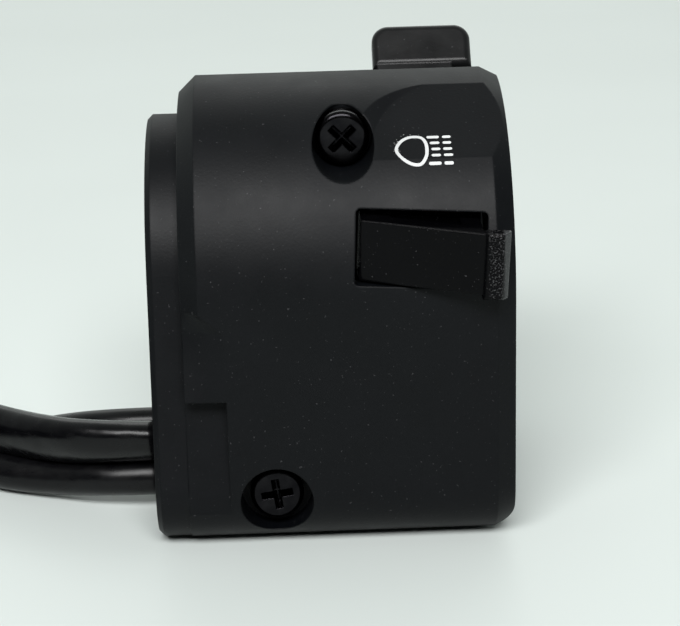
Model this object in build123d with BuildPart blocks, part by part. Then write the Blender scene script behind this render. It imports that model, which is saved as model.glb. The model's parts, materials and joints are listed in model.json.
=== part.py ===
"""Left handlebar switch cluster for a motorcycle, standing on its flat base.

Millimetres. X runs along the handlebar towards the grip, Y away from the front of
the machine towards the rider, Z up. The origin is on the bar's axis, at the middle
of the housing. The front shell carries the passing-light trigger, and the rear shell
the dimmer rocker, the turn-signal slider and the horn button.
"""

import os
from math import acos, atan2, ceil, cos, degrees, hypot, pi, radians, sin, sqrt, tan

from build123d import *

os.makedirs("parts", exist_ok=True)

# Handlebar and housing shells
bar_radius = 11.1
housing_length = 53.0
collar_length = 4.9
collar_radius = 22.9
front_radius = 28.7
rear_depth = 25.0
rear_shoulder_radius = 10.0
rear_roof_slope = 15.0
rear_collar_depth = 19.2
rear_collar_shoulder = 11.0
base_drop = 37.3
base_corner_radius = 9.0
wall = 2.5
end_wall = 3.0
parting_gap = 0.2
left_chamfer = 2.6
collar_chamfer = 0.8
end_bevel_length = 2.7
end_bevel_depth = 1.4
end_corner_radius = 5.5
overrun = 1.0

# Shapes on the front of the front shell
shoulder_step = 0.4
shoulder_step_width = 6.1
relief_top_drop = 3.0
relief_foot_drop = 13.3
relief_foot_depth = 0.1
brow_top_angle = 14.7
brow_foot_angle = 46.0
brow_length = 20.3
brow_end_length = 12.0
brow_margin = 0.6
brow_ramp_angle = 65.0
brow_ramp_height = 2.0

# Clamp screws, their counterbores and the inserts they turn into
screw_radius = 2.4
screw_clearance = 0.3
thread_clearance = 0.05
head_radius = 4.0
head_height = 3.0
head_round = 0.9
recess_width = 4.7
recess_slot = 1.15
recess_depth = 1.8
recess_taper = 14.0
upper_screw_from_end = 24.0
upper_screw_drop = 7.0
upper_bore_radius = 4.5
upper_seat_depth = 17.1
upper_recess_turn = 45.0
lower_screw_x = -8.7
lower_screw_rise = 8.0
lower_bore_radius = 5.35
lower_seat_depth = 6.3
lower_recess_turn = 8.0
boss_wall = 1.7
insert_radius = 3.4
insert_length = 8.0
screw_engagement = 8.0

# Passing-light trigger in its window
trigger_from_end = 13.5
trigger_height_share = 0.27422
trigger_tilt = 3.2
trigger_height = 8.9
window_length = 18.8
window_gap_above = 1.2
window_gap_below = 0.35
window_corner_radius = 0.7
trigger_pivot_x = -7.0
trigger_pivot_sink = 8.9
trigger_barrel_radius = 2.6
trigger_pin_radius = 1.0
running_clearance = 0.05
trigger_left_x = -8.7
trigger_left_sink = 1.9
trigger_rise_x = 8.9
trigger_rise_proud = 3.9
trigger_tip_x = 12.1
trigger_tip_back_proud = 1.9
trigger_tip_crest = 0.45
trigger_tip_top = 0.1
trigger_tip_drop = 0.6
trigger_tip_width = 2.1
trigger_tip_lip_proud = 2.9
trigger_tip_round = 0.4
trigger_shield_left = -3.5
trigger_shield_thickness = 0.8
trigger_shield_low = -2.0
trigger_edge_round = 0.35
trigger_rib_x = 8.3
trigger_rib_width = 2.8
trigger_plate_depth = 3.6
trigger_rib_foot_sink = 4.5
trigger_stop_length = 1.4
trigger_stop_thickness = 0.9
trigger_stop_height = 2.6
trigger_stop_sink = 3.4
trigger_seat_sink = 6.2
trigger_spring_x = -1.5
trigger_plunger_x = 4.0
trigger_plunger_width = 2.2
trigger_contact_gap = 1.1
trigger_contact_width = 3.0
ear_gap = 0.3
ear_thickness = 1.3
ear_radius = 1.5
trigger_base_front_sink = 13.5
base_thickness = 2.0
trigger_base_length = 19.0
trigger_base_top = 6.2
trigger_base_foot = 10.5
trigger_post_radius = 2.3
trigger_low_post_x = 3.0
trigger_low_post_z = -8.0
trigger_high_post_x = 6.2
trigger_high_post_z = 8.6
contact_thickness = 0.8
contact_width = 2.0
contact_length = 6.0
contact_spacing = 4.0
contact_count = 3
horn_contact_count = 2

# Small screws that hold the switch bases
small_screw_radius = 0.95
small_screw_length = 6.5
small_head_radius = 1.9
small_head_height = 1.0
pilot_clearance = 0.05

# Coil springs
spring_wire_radius = 0.25
spring_radius = 1.7
spring_turns = 5
spring_end_gap = 0.05

# Dimmer rocker on the rear shoulder
dimmer_pivot_depth = 8.0
dimmer_pivot_drop = 12.7
dimmer_drum_radius = 8.6
dimmer_drum_from_end = 17.0
dimmer_drum_length = 12.0
dimmer_gap = 0.3
dimmer_wing_angle = 50.0
dimmer_wing_reach = 17.3
dimmer_wing_half = 2.0
dimmer_neck_inset = 0.2
dimmer_flare_radius = 9.6
dimmer_flare_left = 0.7
dimmer_flare_right = 3.3
dimmer_wing_round = 1.2
dimmer_wing_corner = 2.7
dimmer_pin_radius = 1.2
dimmer_cheek = 1.4
dimmer_cheek_half = 3.5
dimmer_floor_depth = 10.9
dimmer_floor_thickness = 1.3
dimmer_floor_half = 4.6
dimmer_cheek_top = 2.4
dimmer_bridge_thickness = 0.6
dimmer_contact_radius = 0.9
dimmer_contact_height = 0.35
dimmer_contact_spacing = 4.0

# Turn-signal slider, its push-to-cancel knob and their base
turn_x = 0.0
turn_z = -3.5
turn_travel = 3.2
turn_knob_width = 7.5
turn_knob_height = 7.0
turn_knob_proud = 6.0
turn_knob_skirt = 0.5
turn_knob_round = 1.4
turn_grip_depth = 0.5
turn_grip_pitch = 1.5
turn_grip_count = 3
turn_spring_turns = 3
turn_window_gap = 0.5
turn_carriage_cover = 0.2
turn_carriage_height = 12.0
turn_carriage_thickness = 2.9
turn_carriage_gap = 0.5
turn_stem_width = 3.6
turn_stem_gap = 0.1
turn_stem_length = 8.6
turn_base_depth = 12.8
turn_base_thickness = 1.6
turn_rail_gap = 0.3
turn_rail_thickness = 1.2
turn_rail_relief = 0.2
turn_post_radius = 2.2
turn_post_right = 3.5
turn_post_left = 8.0
turn_post_z = 10.2
turn_wiper_thickness = 0.5
turn_wiper_gap = 0.15

# Horn button and its base
horn_x = 6.5
horn_z = -20.5
horn_radius = 6.5
horn_gap = 0.3
horn_proud = 2.6
horn_dish_radius = 14.0
horn_dish_depth = 0.6
horn_round = 0.6
horn_flange_radius = 7.5
horn_flange_thickness = 1.5
horn_flange_gap = 0.4
horn_travel = 1.8
horn_spring_turns = 4
horn_stem_radius = 1.1
horn_base_depth = 12.5
horn_plate_radius = 4.0
horn_plate_thickness = 0.5
horn_base_left = 11.5
horn_base_right = 11.5
horn_base_top = 7.7
horn_base_foot = 7.5
horn_base_step = 2.0
horn_base_narrow = 7.0
horn_post_radius = 2.0
horn_post_x = 9.5
horn_post_left_z = 5.3
horn_post_right_z = -5.3

# Cable exit, grommet and the leads inside
exit_front = 15.8
exit_top = -20.8
exit_base = 1.3
exit_corner = 2.0
grommet_gap = 0.1
grommet_proud = 0.2
grommet_flange = 1.0
grommet_flange_length = 1.4
inner_lead_radius = 1.3
lead_step = 5.2
lead_gap = 0.3

# Outer cables: radii, strap, coils and routes
main_cord_radius = 3.3
second_cord_radius = 3.0
clutch_cord_radius = 2.25
tie_thickness = 0.7
tie_width = 3.6
tie_gap = 0.1
coil_gap = 0.6
coil_half_turns = 3
coil_inner_radius = 20.0
coil_outer_radius = 41.0
coil_gap_skip = 4
bend_share = 0.45
main_route = [
    (-26.7, -11.0, -25.9),
    (-35.0, -11.0, -25.9),
    (-44.0, -6.2, -27.0),
    (-53.0, 0.9, -27.9),
    (-62.5, 7.2, -27.6),
    (-73.0, 15.8, -27.2),
    (-85.0, 23.6, -27.15),
    (-96.0, 27.5, -27.15),
    (-107.0, 27.5, -27.15),
]
second_route = [
    (-26.7, -9.5, -32.4),
    (-34.0, -9.5, -32.4),
    (-43.0, -5.0, -33.9),
    (-53.0, -1.2, -34.2),
    (-62.5, 6.6, -34.0),
    (-73.0, 15.5, -33.6),
    (-85.0, 23.5, -33.5),
    (-96.0, 27.5, -33.5),
    (-107.6, 27.5, -33.5),
]
clutch_route = [
    (-26.7, -4.3, -25.3),
    (-35.0, -4.3, -25.3),
    (-45.0, 2.0, -28.5),
    (-54.0, 8.6, -33.0),
    (-62.5, 16.5, -34.8),
    (-71.0, 26.0, -35.05),
    (-79.5, 33.2, -35.05),
    (-87.5, 36.6, -35.05),
    (-95.5, 36.6, -35.05),
]

# Connectors on the cables
main_plug_length = 20.0
main_plug_width = 12.0
main_plug_height = 7.0
main_plug_columns = 3
second_plug_height = 6.8
plug_stack_gap = 0.02
small_plug_length = 16.0
small_plug_width = 9.5
small_plug_height = 7.5
small_plug_columns = 2
plug_pitch = 3.8
plug_hole = 2.6
plug_hole_depth = 8.0
plug_round = 0.8
latch_width = 4.0
latch_length = 10.0
latch_height = 1.2

# Values worked out from the sizes above
left_end = -housing_length / 2
right_end = housing_length / 2
main_left = left_end + collar_length
base_z = -base_drop
step_plane_y = front_radius - shoulder_step
cavity_left = main_left + wall
cavity_right = right_end - end_wall
half_gap = parting_gap / 2
rear_inner_y = rear_depth - wall
main_length = right_end - main_left
cutter_left = main_left - half_gap
grommet_inner_x = left_end + end_wall + grommet_flange_length
coil_step = main_cord_radius + coil_gap / 2
front_cavity_left = main_left + shoulder_step_width + wall
upper_screw_x = right_end - upper_screw_from_end
upper_screw_z = front_radius - upper_screw_drop
lower_screw_z = base_z + lower_screw_rise
brow_left_x = right_end - brow_length
trigger_x = right_end - trigger_from_end
trigger_z = front_radius * trigger_height_share
trigger_pivot_y = trigger_pivot_sink - front_radius
trigger_left_y = trigger_left_sink - front_radius
trigger_rise_y = -front_radius - trigger_rise_proud
trigger_tip_back_y = -front_radius - trigger_tip_back_proud
trigger_tip_lip_y = -front_radius - trigger_tip_lip_proud
trigger_rib_foot_y = trigger_rib_foot_sink - front_radius
trigger_stop_y = trigger_stop_sink - front_radius
trigger_seat_y = trigger_seat_sink - front_radius
trigger_base_front_y = trigger_base_front_sink - front_radius
dimmer_pivot_y = rear_depth - dimmer_pivot_depth
dimmer_pivot_z = front_radius - dimmer_pivot_drop
dimmer_drum_left_x = right_end - dimmer_drum_from_end
turn_base_back = rear_depth - turn_base_depth
horn_base_back = rear_depth - horn_base_depth
foot_y = base_corner_radius - step_plane_y
foot_z = base_corner_radius - base_drop
collar_lean = acos((collar_radius - base_corner_radius) / hypot(foot_y, foot_z)) - atan2(
    foot_z, foot_y
) - pi
trigger_plane = Plane(
    origin=(trigger_x, 0, trigger_z),
    x_dir=(cos(radians(trigger_tilt)), 0, -sin(radians(trigger_tilt))),
    z_dir=(sin(radians(trigger_tilt)), 0, cos(radians(trigger_tilt))),
)
dimmer_lean = degrees(atan2(dimmer_pivot_z, dimmer_pivot_y))


def upright(y):
    """A plane facing the front at depth y, with X to the right and Z up."""
    return Plane.XZ.offset(-y)


def across(x):
    """A plane square to the bar at x, with Y to the right and Z up."""
    return Plane.YZ.offset(x)


def front_outline(inset):
    """Section of the front shell, drawn in from its surface by inset."""
    reach = front_radius - inset
    bend = base_corner_radius - inset
    low = base_z + inset
    with BuildLine() as outline:
        CenterArc((0, 0), reach, 90, 90)
        Line((-reach, 0), (-reach, low + bend))
        CenterArc((bend - reach, low + bend), bend, 180, 90)
        Line((bend - reach, low), (0, low))
        Line((0, low), (0, reach))
    make_face(outline.edges())


def front_collar_outline(inset):
    """Section of the collar's front half: round above, leaning out to the foot below."""
    reach = collar_radius - inset
    bend = base_corner_radius - inset
    low = base_z + inset
    across_lean = cos(collar_lean)
    up_lean = sin(collar_lean)
    with BuildLine() as outline:
        CenterArc((0, 0), reach, 90, 90 - degrees(collar_lean))
        Line(
            (-reach * across_lean, reach * up_lean),
            (foot_y - bend * across_lean, foot_z + bend * up_lean),
        )
        CenterArc((foot_y, foot_z), bend, 180 - degrees(collar_lean), 90 + degrees(collar_lean))
        Line((foot_y, low), (0, low))
        Line((0, low), (0, reach))
    make_face(outline.edges())


def rear_outline(top, depth, shoulder, inset):
    """Section of a rear half: sloping roof, rounded shoulder, flat back, rounded foot."""
    slope = radians(rear_roof_slope)
    middle_y = depth - shoulder
    middle_z = top - middle_y * tan(slope) - shoulder / cos(slope)
    high = top - inset / cos(slope)
    reach = depth - inset
    turn = shoulder - inset
    bend = base_corner_radius - inset
    low = base_z + inset
    with BuildLine() as outline:
        Line((0, high), (middle_y + turn * sin(slope), middle_z + turn * cos(slope)))
        CenterArc((middle_y, middle_z), turn, 0, 90 - rear_roof_slope)
        Line((reach, middle_z), (reach, low + bend))
        CenterArc((reach - bend, low + bend), bend, 270, 90)
        Line((reach - bend, low), (0, low))
        Line((0, low), (0, high))
    make_face(outline.edges())


def bevel_right_end(shell, parting_is_last):
    """The sloped band round the grip end, left off the parting edge."""
    end_face = shell.faces().sort_by(Axis.X)[-1]
    rim = end_face.edges().sort_by(Axis.Y)
    rim = rim[:-1] if parting_is_last else rim[1:]
    chamfer(rim, length=end_bevel_depth, length2=end_bevel_length, reference=end_face)


def round_right_foot():
    """Rounds the corner between the base and the grip end."""
    with BuildSketch(upright(front_radius + overrun)) as section:
        with BuildLine():
            Line((right_end, base_z), (right_end, base_z + end_corner_radius))
            CenterArc(
                (right_end - end_corner_radius, base_z + end_corner_radius),
                end_corner_radius,
                0,
                -90,
            )
            Line((right_end - end_corner_radius, base_z), (right_end, base_z))
        make_face()
    extrude(section.sketch, amount=2 * (front_radius + overrun), mode=Mode.SUBTRACT)


def cut_bar_bore():
    """The bore that clamps the handlebar."""
    with BuildSketch(across(left_end - overrun)) as section:
        Circle(bar_radius)
    extrude(section.sketch, amount=housing_length + 2 * overrun, mode=Mode.SUBTRACT)


def trim_front():
    """Takes away what lies behind the front shell's parting face."""
    with BuildSketch(upright(-half_gap)) as section:
        Rectangle(2 * housing_length, 4 * base_drop)
    extrude(section.sketch, amount=-front_radius, mode=Mode.SUBTRACT)


def relief_section(z, width, depth):
    """Level section of what the thumb relief takes off the shoulder's front edge."""
    with BuildSketch(Plane.XY.offset(z)) as section:
        with BuildLine() as outline:
            Polyline(
                (cutter_left, depth - front_radius),
                (cutter_left, -front_radius - overrun),
                (main_left + width + overrun, -front_radius - overrun),
                (main_left + width, -front_radius),
                close=True,
            )
        make_face(outline.edges())
    return section.sketch


def front_block():
    """The front shell's solid outside shape."""
    with BuildSketch(across(main_left)) as section:
        front_outline(0)
    extrude(section.sketch, amount=main_length)


# Screw bosses inside the front shell, cut to its outside shape
with BuildPart() as front_bosses:
    front_block()
    with BuildSketch(upright(0)):
        with Locations((upper_screw_x, upper_screw_z)):
            Circle(upper_bore_radius + boss_wall)
        with Locations((lower_screw_x, lower_screw_z)):
            Circle(lower_bore_radius + boss_wall)
    extrude(amount=front_radius + overrun, mode=Mode.INTERSECT)

# Posts that the trigger's base is screwed to, cut to the shell's outside shape
trigger_posts = [
    (trigger_low_post_x, trigger_low_post_z),
    (trigger_high_post_x, trigger_high_post_z),
]
post_plane = Plane(
    origin=(trigger_x, trigger_base_front_y, trigger_z),
    x_dir=trigger_plane.x_dir,
    z_dir=(0, -1, 0),
)
with BuildPart() as front_posts:
    front_block()
    with BuildSketch(post_plane):
        with Locations(*trigger_posts):
            Circle(trigger_post_radius)
    extrude(amount=front_radius + overrun, mode=Mode.INTERSECT)

# Front shell
trigger_window_height = trigger_height + window_gap_above + window_gap_below
trigger_window_shift = (window_gap_above - window_gap_below) / 2
brow_middle = radians((brow_top_angle + brow_foot_angle) / 2)
brow_half = radians((brow_foot_angle - brow_top_angle) / 2)
brow_distance = front_radius * cos(brow_half)
brow_width = 2 * front_radius * sin(brow_half)
brow_plane = Plane(
    origin=(0, -brow_distance * sin(brow_middle), brow_distance * cos(brow_middle)),
    x_dir=(1, 0, 0),
    z_dir=(0, -sin(brow_middle), cos(brow_middle)),
)
with BuildPart() as front_case:
    front_block()
    bevel_right_end(front_case, True)
    with BuildSketch(across(left_end)):
        front_collar_outline(0)
    extrude(amount=collar_length)
    collar_face = front_case.faces().sort_by(Axis.X)[0]
    chamfer(collar_face.edges().sort_by(Axis.Y)[:-1], length=collar_chamfer)
    round_right_foot()

    # Hollow of the body and of the collar
    with BuildSketch(across(front_cavity_left)):
        front_outline(wall)
    extrude(amount=cavity_right - front_cavity_left, mode=Mode.SUBTRACT)
    with BuildSketch(across(left_end + end_wall)):
        front_collar_outline(wall)
    extrude(amount=front_cavity_left - left_end - end_wall, mode=Mode.SUBTRACT)
    add(front_bosses.part)
    add(front_posts.part)

    # Chamfer round the shoulder
    with BuildSketch(Plane.XY):
        with BuildLine():
            Polyline(
                (cutter_left, left_chamfer - front_radius),
                (cutter_left, -front_radius - overrun),
                (main_left + left_chamfer + overrun, -front_radius - overrun),
                close=True,
            )
        make_face()
    revolve(axis=Axis.X, revolution_arc=-90, mode=Mode.SUBTRACT)

    # Thumb relief: the chamfer widens below the middle, then runs out at a ledge
    relief_top = relief_section(0, left_chamfer, left_chamfer)
    relief_middle = relief_section(-relief_top_drop, shoulder_step_width, left_chamfer)
    relief_foot = relief_section(-relief_foot_drop, shoulder_step_width, relief_foot_depth)
    loft([relief_top, relief_middle], ruled=True, mode=Mode.SUBTRACT)
    loft([relief_middle, relief_foot], ruled=True, mode=Mode.SUBTRACT)

    # Panel under the ledge, in line with the collar's face
    panel_y = collar_radius / cos(collar_lean) + relief_foot_drop * tan(collar_lean)
    with BuildSketch(across(main_left)):
        with BuildLine():
            Polyline(
                (-panel_y, -relief_foot_drop),
                (-step_plane_y, base_z + base_corner_radius),
                (-step_plane_y, 2 * base_z),
                (-front_radius - overrun, 2 * base_z),
                (-front_radius - overrun, -relief_foot_drop),
                close=True,
            )
        make_face()
    extrude(amount=shoulder_step_width, mode=Mode.SUBTRACT)

    # Flat brow below the top edge, with a rounded end that ramps up to the surface
    with BuildSketch(brow_plane):
        with Locations((brow_left_x + brow_end_length, -brow_width / 2 - brow_margin)):
            Ellipse(brow_end_length, brow_width + 2 * brow_margin)
            Rectangle(
                housing_length, brow_width + 2 * brow_margin, align=(Align.MIN, Align.MIN)
            )
    extrude(amount=brow_ramp_height, taper=-brow_ramp_angle, mode=Mode.SUBTRACT)

    # Trigger window
    with BuildSketch(
        Plane(
            origin=(trigger_x, trigger_base_front_y, trigger_z),
            x_dir=trigger_plane.x_dir,
            z_dir=(0, -1, 0),
        )
    ):
        with Locations((0, trigger_window_shift)):
            RectangleRounded(
                window_length, trigger_window_height, window_corner_radius
            )
    extrude(amount=front_radius, mode=Mode.SUBTRACT)

    # Clamp screw holes
    for x, z, bore, seat in (
        (upper_screw_x, upper_screw_z, upper_bore_radius, upper_seat_depth),
        (lower_screw_x, lower_screw_z, lower_bore_radius, lower_seat_depth),
    ):
        with BuildSketch(upright(seat - front_radius)):
            with Locations((x, z)):
                Circle(bore)
        extrude(amount=front_radius, mode=Mode.SUBTRACT)
        with BuildSketch(upright(0)):
            with Locations((x, z)):
                Circle(screw_radius + screw_clearance)
        extrude(amount=front_radius, mode=Mode.SUBTRACT)

    # Pilot holes in the posts, cable exit and bar bore
    with BuildSketch(post_plane):
        with Locations(*trigger_posts):
            Circle(small_screw_radius + pilot_clearance)
    extrude(amount=small_screw_length - base_thickness + overrun / 2, mode=Mode.SUBTRACT)
    with BuildSketch(across(left_end - overrun)):
        with Locations((-exit_front, base_z + exit_base)):
            RectangleRounded(
                exit_front + exit_corner,
                exit_top - base_z - exit_base,
                exit_corner,
                align=(Align.MIN, Align.MIN),
            )
    extrude(
        amount=grommet_inner_x + grommet_gap - left_end + overrun, mode=Mode.SUBTRACT
    )
    cut_bar_bore()
    trim_front()

# Bosses inside the rear shell, cut to its outside shape
turn_posts = [
    (turn_x + turn_post_right, turn_z + turn_post_z),
    (turn_x - turn_post_left, turn_z - turn_post_z),
]
horn_posts = [
    (horn_x - horn_post_x, horn_z + horn_post_left_z),
    (horn_x + horn_post_x, horn_z + horn_post_right_z),
]
turn_base_front = turn_base_back + turn_base_thickness
horn_base_front = horn_base_back + base_thickness


def rear_block():
    """The rear shell's solid outside shape."""
    with BuildSketch(across(main_left)) as section:
        rear_outline(front_radius, rear_depth, rear_shoulder_radius, 0)
    extrude(section.sketch, amount=main_length)


with BuildPart() as rear_bosses:
    rear_block()
    with BuildSketch(upright(0)):
        with Locations((upper_screw_x, upper_screw_z)):
            Circle(insert_radius + boss_wall)
        with Locations((lower_screw_x, lower_screw_z)):
            Circle(insert_radius + boss_wall)
    extrude(amount=-rear_depth - overrun, mode=Mode.INTERSECT)
with BuildPart() as turn_post_pair:
    rear_block()
    with BuildSketch(upright(turn_base_front)):
        with Locations(*turn_posts):
            Circle(turn_post_radius)
    extrude(amount=-rear_depth, mode=Mode.INTERSECT)
with BuildPart() as horn_post_pair:
    rear_block()
    with BuildSketch(upright(horn_base_front)):
        with Locations(*horn_posts):
            Circle(horn_post_radius)
    extrude(amount=-rear_depth, mode=Mode.INTERSECT)

# Rear shell
turn_window_length = turn_knob_width + 2 * (turn_travel + turn_window_gap)
turn_carriage_length = turn_window_length + 2 * (turn_travel + turn_carriage_cover)
turn_window_height = turn_knob_height + 2 * turn_window_gap
with BuildPart() as rear_case:
    rear_block()
    bevel_right_end(rear_case, False)

    # Chamfer above the collar, in line with the front shell's, and the collar
    shoulder_face = rear_case.faces().sort_by(Axis.X)[0]
    chamfer(shoulder_face.edges().sort_by(Axis.Y)[1:], length=left_chamfer)
    with BuildSketch(across(left_end)):
        rear_outline(collar_radius, rear_collar_depth, rear_collar_shoulder, 0)
    extrude(amount=collar_length + left_chamfer)
    collar_face = rear_case.faces().sort_by(Axis.X)[0]
    chamfer(collar_face.edges().sort_by(Axis.Y)[1:], length=collar_chamfer)
    round_right_foot()
    with BuildSketch(across(cavity_left)):
        rear_outline(front_radius, rear_depth, rear_shoulder_radius, wall)
    extrude(amount=cavity_right - cavity_left, mode=Mode.SUBTRACT)
    with BuildSketch(across(left_end + end_wall)):
        rear_outline(collar_radius, rear_collar_depth, rear_collar_shoulder, wall)
    extrude(amount=cavity_left - left_end - end_wall, mode=Mode.SUBTRACT)
    add(rear_bosses.part)
    add(turn_post_pair.part)
    add(horn_post_pair.part)

    # Inserts, dimmer drum, turn-signal window, horn hole and bar bore
    with BuildSketch(upright(0)):
        with Locations((upper_screw_x, upper_screw_z), (lower_screw_x, lower_screw_z)):
            Circle(insert_radius)
    extrude(amount=-half_gap - insert_length, mode=Mode.SUBTRACT)
    with BuildSketch(upright(half_gap + insert_length)):
        with Locations((upper_screw_x, upper_screw_z), (lower_screw_x, lower_screw_z)):
            Circle(screw_radius + screw_clearance)
    extrude(amount=-screw_engagement / 2, mode=Mode.SUBTRACT)
    with BuildSketch(across(dimmer_drum_left_x - dimmer_gap)):
        with Locations((dimmer_pivot_y, dimmer_pivot_z)):
            Circle(dimmer_drum_radius + dimmer_gap)
    extrude(amount=dimmer_drum_length + 2 * dimmer_gap, mode=Mode.SUBTRACT)
    with BuildSketch(upright(rear_inner_y - overrun)):
        with Locations((turn_x, turn_z)):
            RectangleRounded(turn_window_length, turn_window_height, turn_window_gap)
    extrude(amount=-wall - 2 * overrun, mode=Mode.SUBTRACT)
    with BuildSketch(upright(rear_inner_y - overrun)):
        with Locations((horn_x, horn_z)):
            Circle(horn_radius + horn_gap)
    extrude(amount=-wall - 2 * overrun, mode=Mode.SUBTRACT)
    with BuildSketch(upright(turn_base_front)):
        with Locations(*turn_posts):
            Circle(small_screw_radius + pilot_clearance)
    extrude(amount=base_thickness - small_screw_length - overrun / 2, mode=Mode.SUBTRACT)
    with BuildSketch(upright(horn_base_front)):
        with Locations(*horn_posts):
            Circle(small_screw_radius + pilot_clearance)
    extrude(amount=base_thickness - small_screw_length - overrun / 2, mode=Mode.SUBTRACT)
    cut_bar_bore()
    with BuildSketch(upright(half_gap)):
        Rectangle(2 * housing_length, 4 * base_drop)
    extrude(amount=half_gap + overrun, mode=Mode.SUBTRACT)


def clamp_screw(x, z, seat_y, turn):
    """A pan-head screw with a cross recess, its shank running back into the insert."""
    shank = screw_engagement + half_gap - seat_y
    with BuildSketch(upright(seat_y)) as section:
        with Locations((x, z)):
            Circle(screw_radius)
    extrude(section.sketch, amount=-shank)
    with BuildSketch(upright(seat_y)) as section:
        with Locations((x, z)):
            Circle(head_radius)
    head = extrude(section.sketch, amount=head_height)
    fillet(head.faces().sort_by(Axis.Y)[0].edges(), head_round)
    with BuildSketch(upright(seat_y - head_height)) as section:
        with Locations(Location((x, z), turn)):
            Rectangle(recess_width, recess_slot)
            Rectangle(recess_slot, recess_width)
    extrude(section.sketch, amount=-recess_depth, taper=recess_taper, mode=Mode.SUBTRACT)


with BuildPart() as upper_clamp_screw:
    clamp_screw(
        upper_screw_x, upper_screw_z, upper_seat_depth - front_radius, upper_recess_turn
    )
with BuildPart() as lower_clamp_screw:
    clamp_screw(
        lower_screw_x, lower_screw_z, lower_seat_depth - front_radius, lower_recess_turn
    )

# Threaded inserts pressed into the rear shell's bosses
with BuildPart() as thread_inserts:
    with BuildSketch(upright(half_gap)):
        with Locations((upper_screw_x, upper_screw_z), (lower_screw_x, lower_screw_z)):
            Circle(insert_radius)
            Circle(screw_radius + thread_clearance, mode=Mode.SUBTRACT)
    extrude(amount=-insert_length)

# Passing-light trigger: a plate that slopes out of the window from its pivot
trigger_low = -trigger_height / 2
trigger_slope = (trigger_rise_y - trigger_left_y) / (trigger_rise_x - trigger_left_x)
trigger_rib_left = trigger_rib_x - trigger_rib_width
trigger_plate_back = (
    trigger_left_y + trigger_slope * (trigger_rib_left - trigger_left_x) + trigger_plate_depth
)
trigger_heel_x = trigger_pivot_x + trigger_barrel_radius
trigger_heel_y = (
    trigger_left_y + trigger_slope * (trigger_heel_x - trigger_left_x) + trigger_plate_depth
)
with BuildPart() as trigger_tip:
    with BuildSketch(trigger_plane.offset(trigger_low - trigger_tip_drop)):
        with BuildLine():
            Polyline(
                (trigger_rise_x - trigger_tip_round, trigger_tip_back_y),
                (trigger_rise_x - trigger_tip_round, trigger_rise_y),
                (trigger_rise_x, trigger_rise_y - trigger_tip_crest),
                (trigger_rise_x + trigger_tip_width, trigger_rise_y - trigger_tip_crest),
                (trigger_tip_x, trigger_tip_lip_y),
                (trigger_tip_x, trigger_tip_back_y),
                close=True,
            )
        make_face()
    extrude(amount=trigger_height + trigger_tip_drop + trigger_tip_top)
    fillet(trigger_tip.faces().sort_by(Axis.Y)[0].edges(), trigger_tip_round)
with BuildPart() as trigger_lever:
    with BuildSketch(trigger_plane.offset(trigger_low)):
        with BuildLine():
            Polyline(
                (trigger_left_x, trigger_pivot_y),
                (trigger_left_x, trigger_left_y),
                (trigger_rise_x, trigger_rise_y),
                (trigger_rise_x, trigger_tip_back_y),
                (trigger_rib_x, trigger_tip_back_y),
                (trigger_rib_x, trigger_rib_foot_y),
                (trigger_rib_left, trigger_rib_foot_y),
                (trigger_rib_left, trigger_plate_back),
                (trigger_heel_x, trigger_heel_y),
                (trigger_heel_x, trigger_pivot_y),
                close=True,
            )
        make_face()
        with Locations((trigger_pivot_x, trigger_pivot_y)):
            Circle(trigger_barrel_radius)
    extrude(amount=trigger_height)
    plate_face = trigger_lever.faces().sort_by(Axis.Y)[0]
    fillet(plate_face.edges(), trigger_edge_round)
    add(trigger_tip.part)

    # Shield behind the gap above the plate
    with BuildSketch(trigger_plane.offset(trigger_shield_low)):
        with Locations((trigger_shield_left, trigger_seat_y)):
            Rectangle(
                trigger_rib_x - trigger_shield_left,
                trigger_shield_thickness,
                align=(Align.MIN, Align.MAX),
            )
    extrude(amount=trigger_height / 2 - trigger_shield_low)

    # Stop tab behind the wall, spring seat and plunger
    with BuildSketch(trigger_plane.offset(trigger_low)):
        with Locations((trigger_rib_x, trigger_stop_y)):
            Rectangle(
                trigger_stop_length, trigger_stop_thickness, align=(Align.MIN, Align.MIN)
            )
    extrude(amount=trigger_stop_height)
    seat_half = spring_radius + spring_wire_radius + spring_end_gap
    with BuildSketch(trigger_plane.offset(-seat_half)):
        with Locations((trigger_spring_x, trigger_seat_y)):
            Rectangle(2 * seat_half, trigger_plate_depth, align=(Align.CENTER, Align.MAX))
    extrude(amount=2 * seat_half)
    contact_back = trigger_base_front_y - contact_thickness - trigger_contact_gap
    plunger_half = trigger_plunger_width / 2
    with BuildSketch(trigger_plane.offset(-plunger_half)):
        with Locations((trigger_plunger_x, contact_back - contact_thickness)):
            Rectangle(
                trigger_plunger_width,
                trigger_plate_depth - trigger_rib_foot_y + contact_back,
                align=(Align.CENTER, Align.MAX),
            )
    extrude(amount=trigger_plunger_width)
    with BuildSketch(trigger_plane.offset(trigger_low - overrun)):
        with Locations((trigger_pivot_x, trigger_pivot_y)):
            Circle(trigger_pin_radius + running_clearance)
    extrude(amount=trigger_height + 2 * overrun, mode=Mode.SUBTRACT)

with BuildPart() as trigger_moving_contact:
    with BuildSketch(trigger_plane.offset(-contact_spacing / 2 - contact_width / 2)):
        with Locations((trigger_plunger_x, contact_back)):
            Rectangle(trigger_contact_width, contact_thickness, align=(Align.CENTER, Align.MAX))
    extrude(amount=contact_spacing + contact_width)

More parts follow.
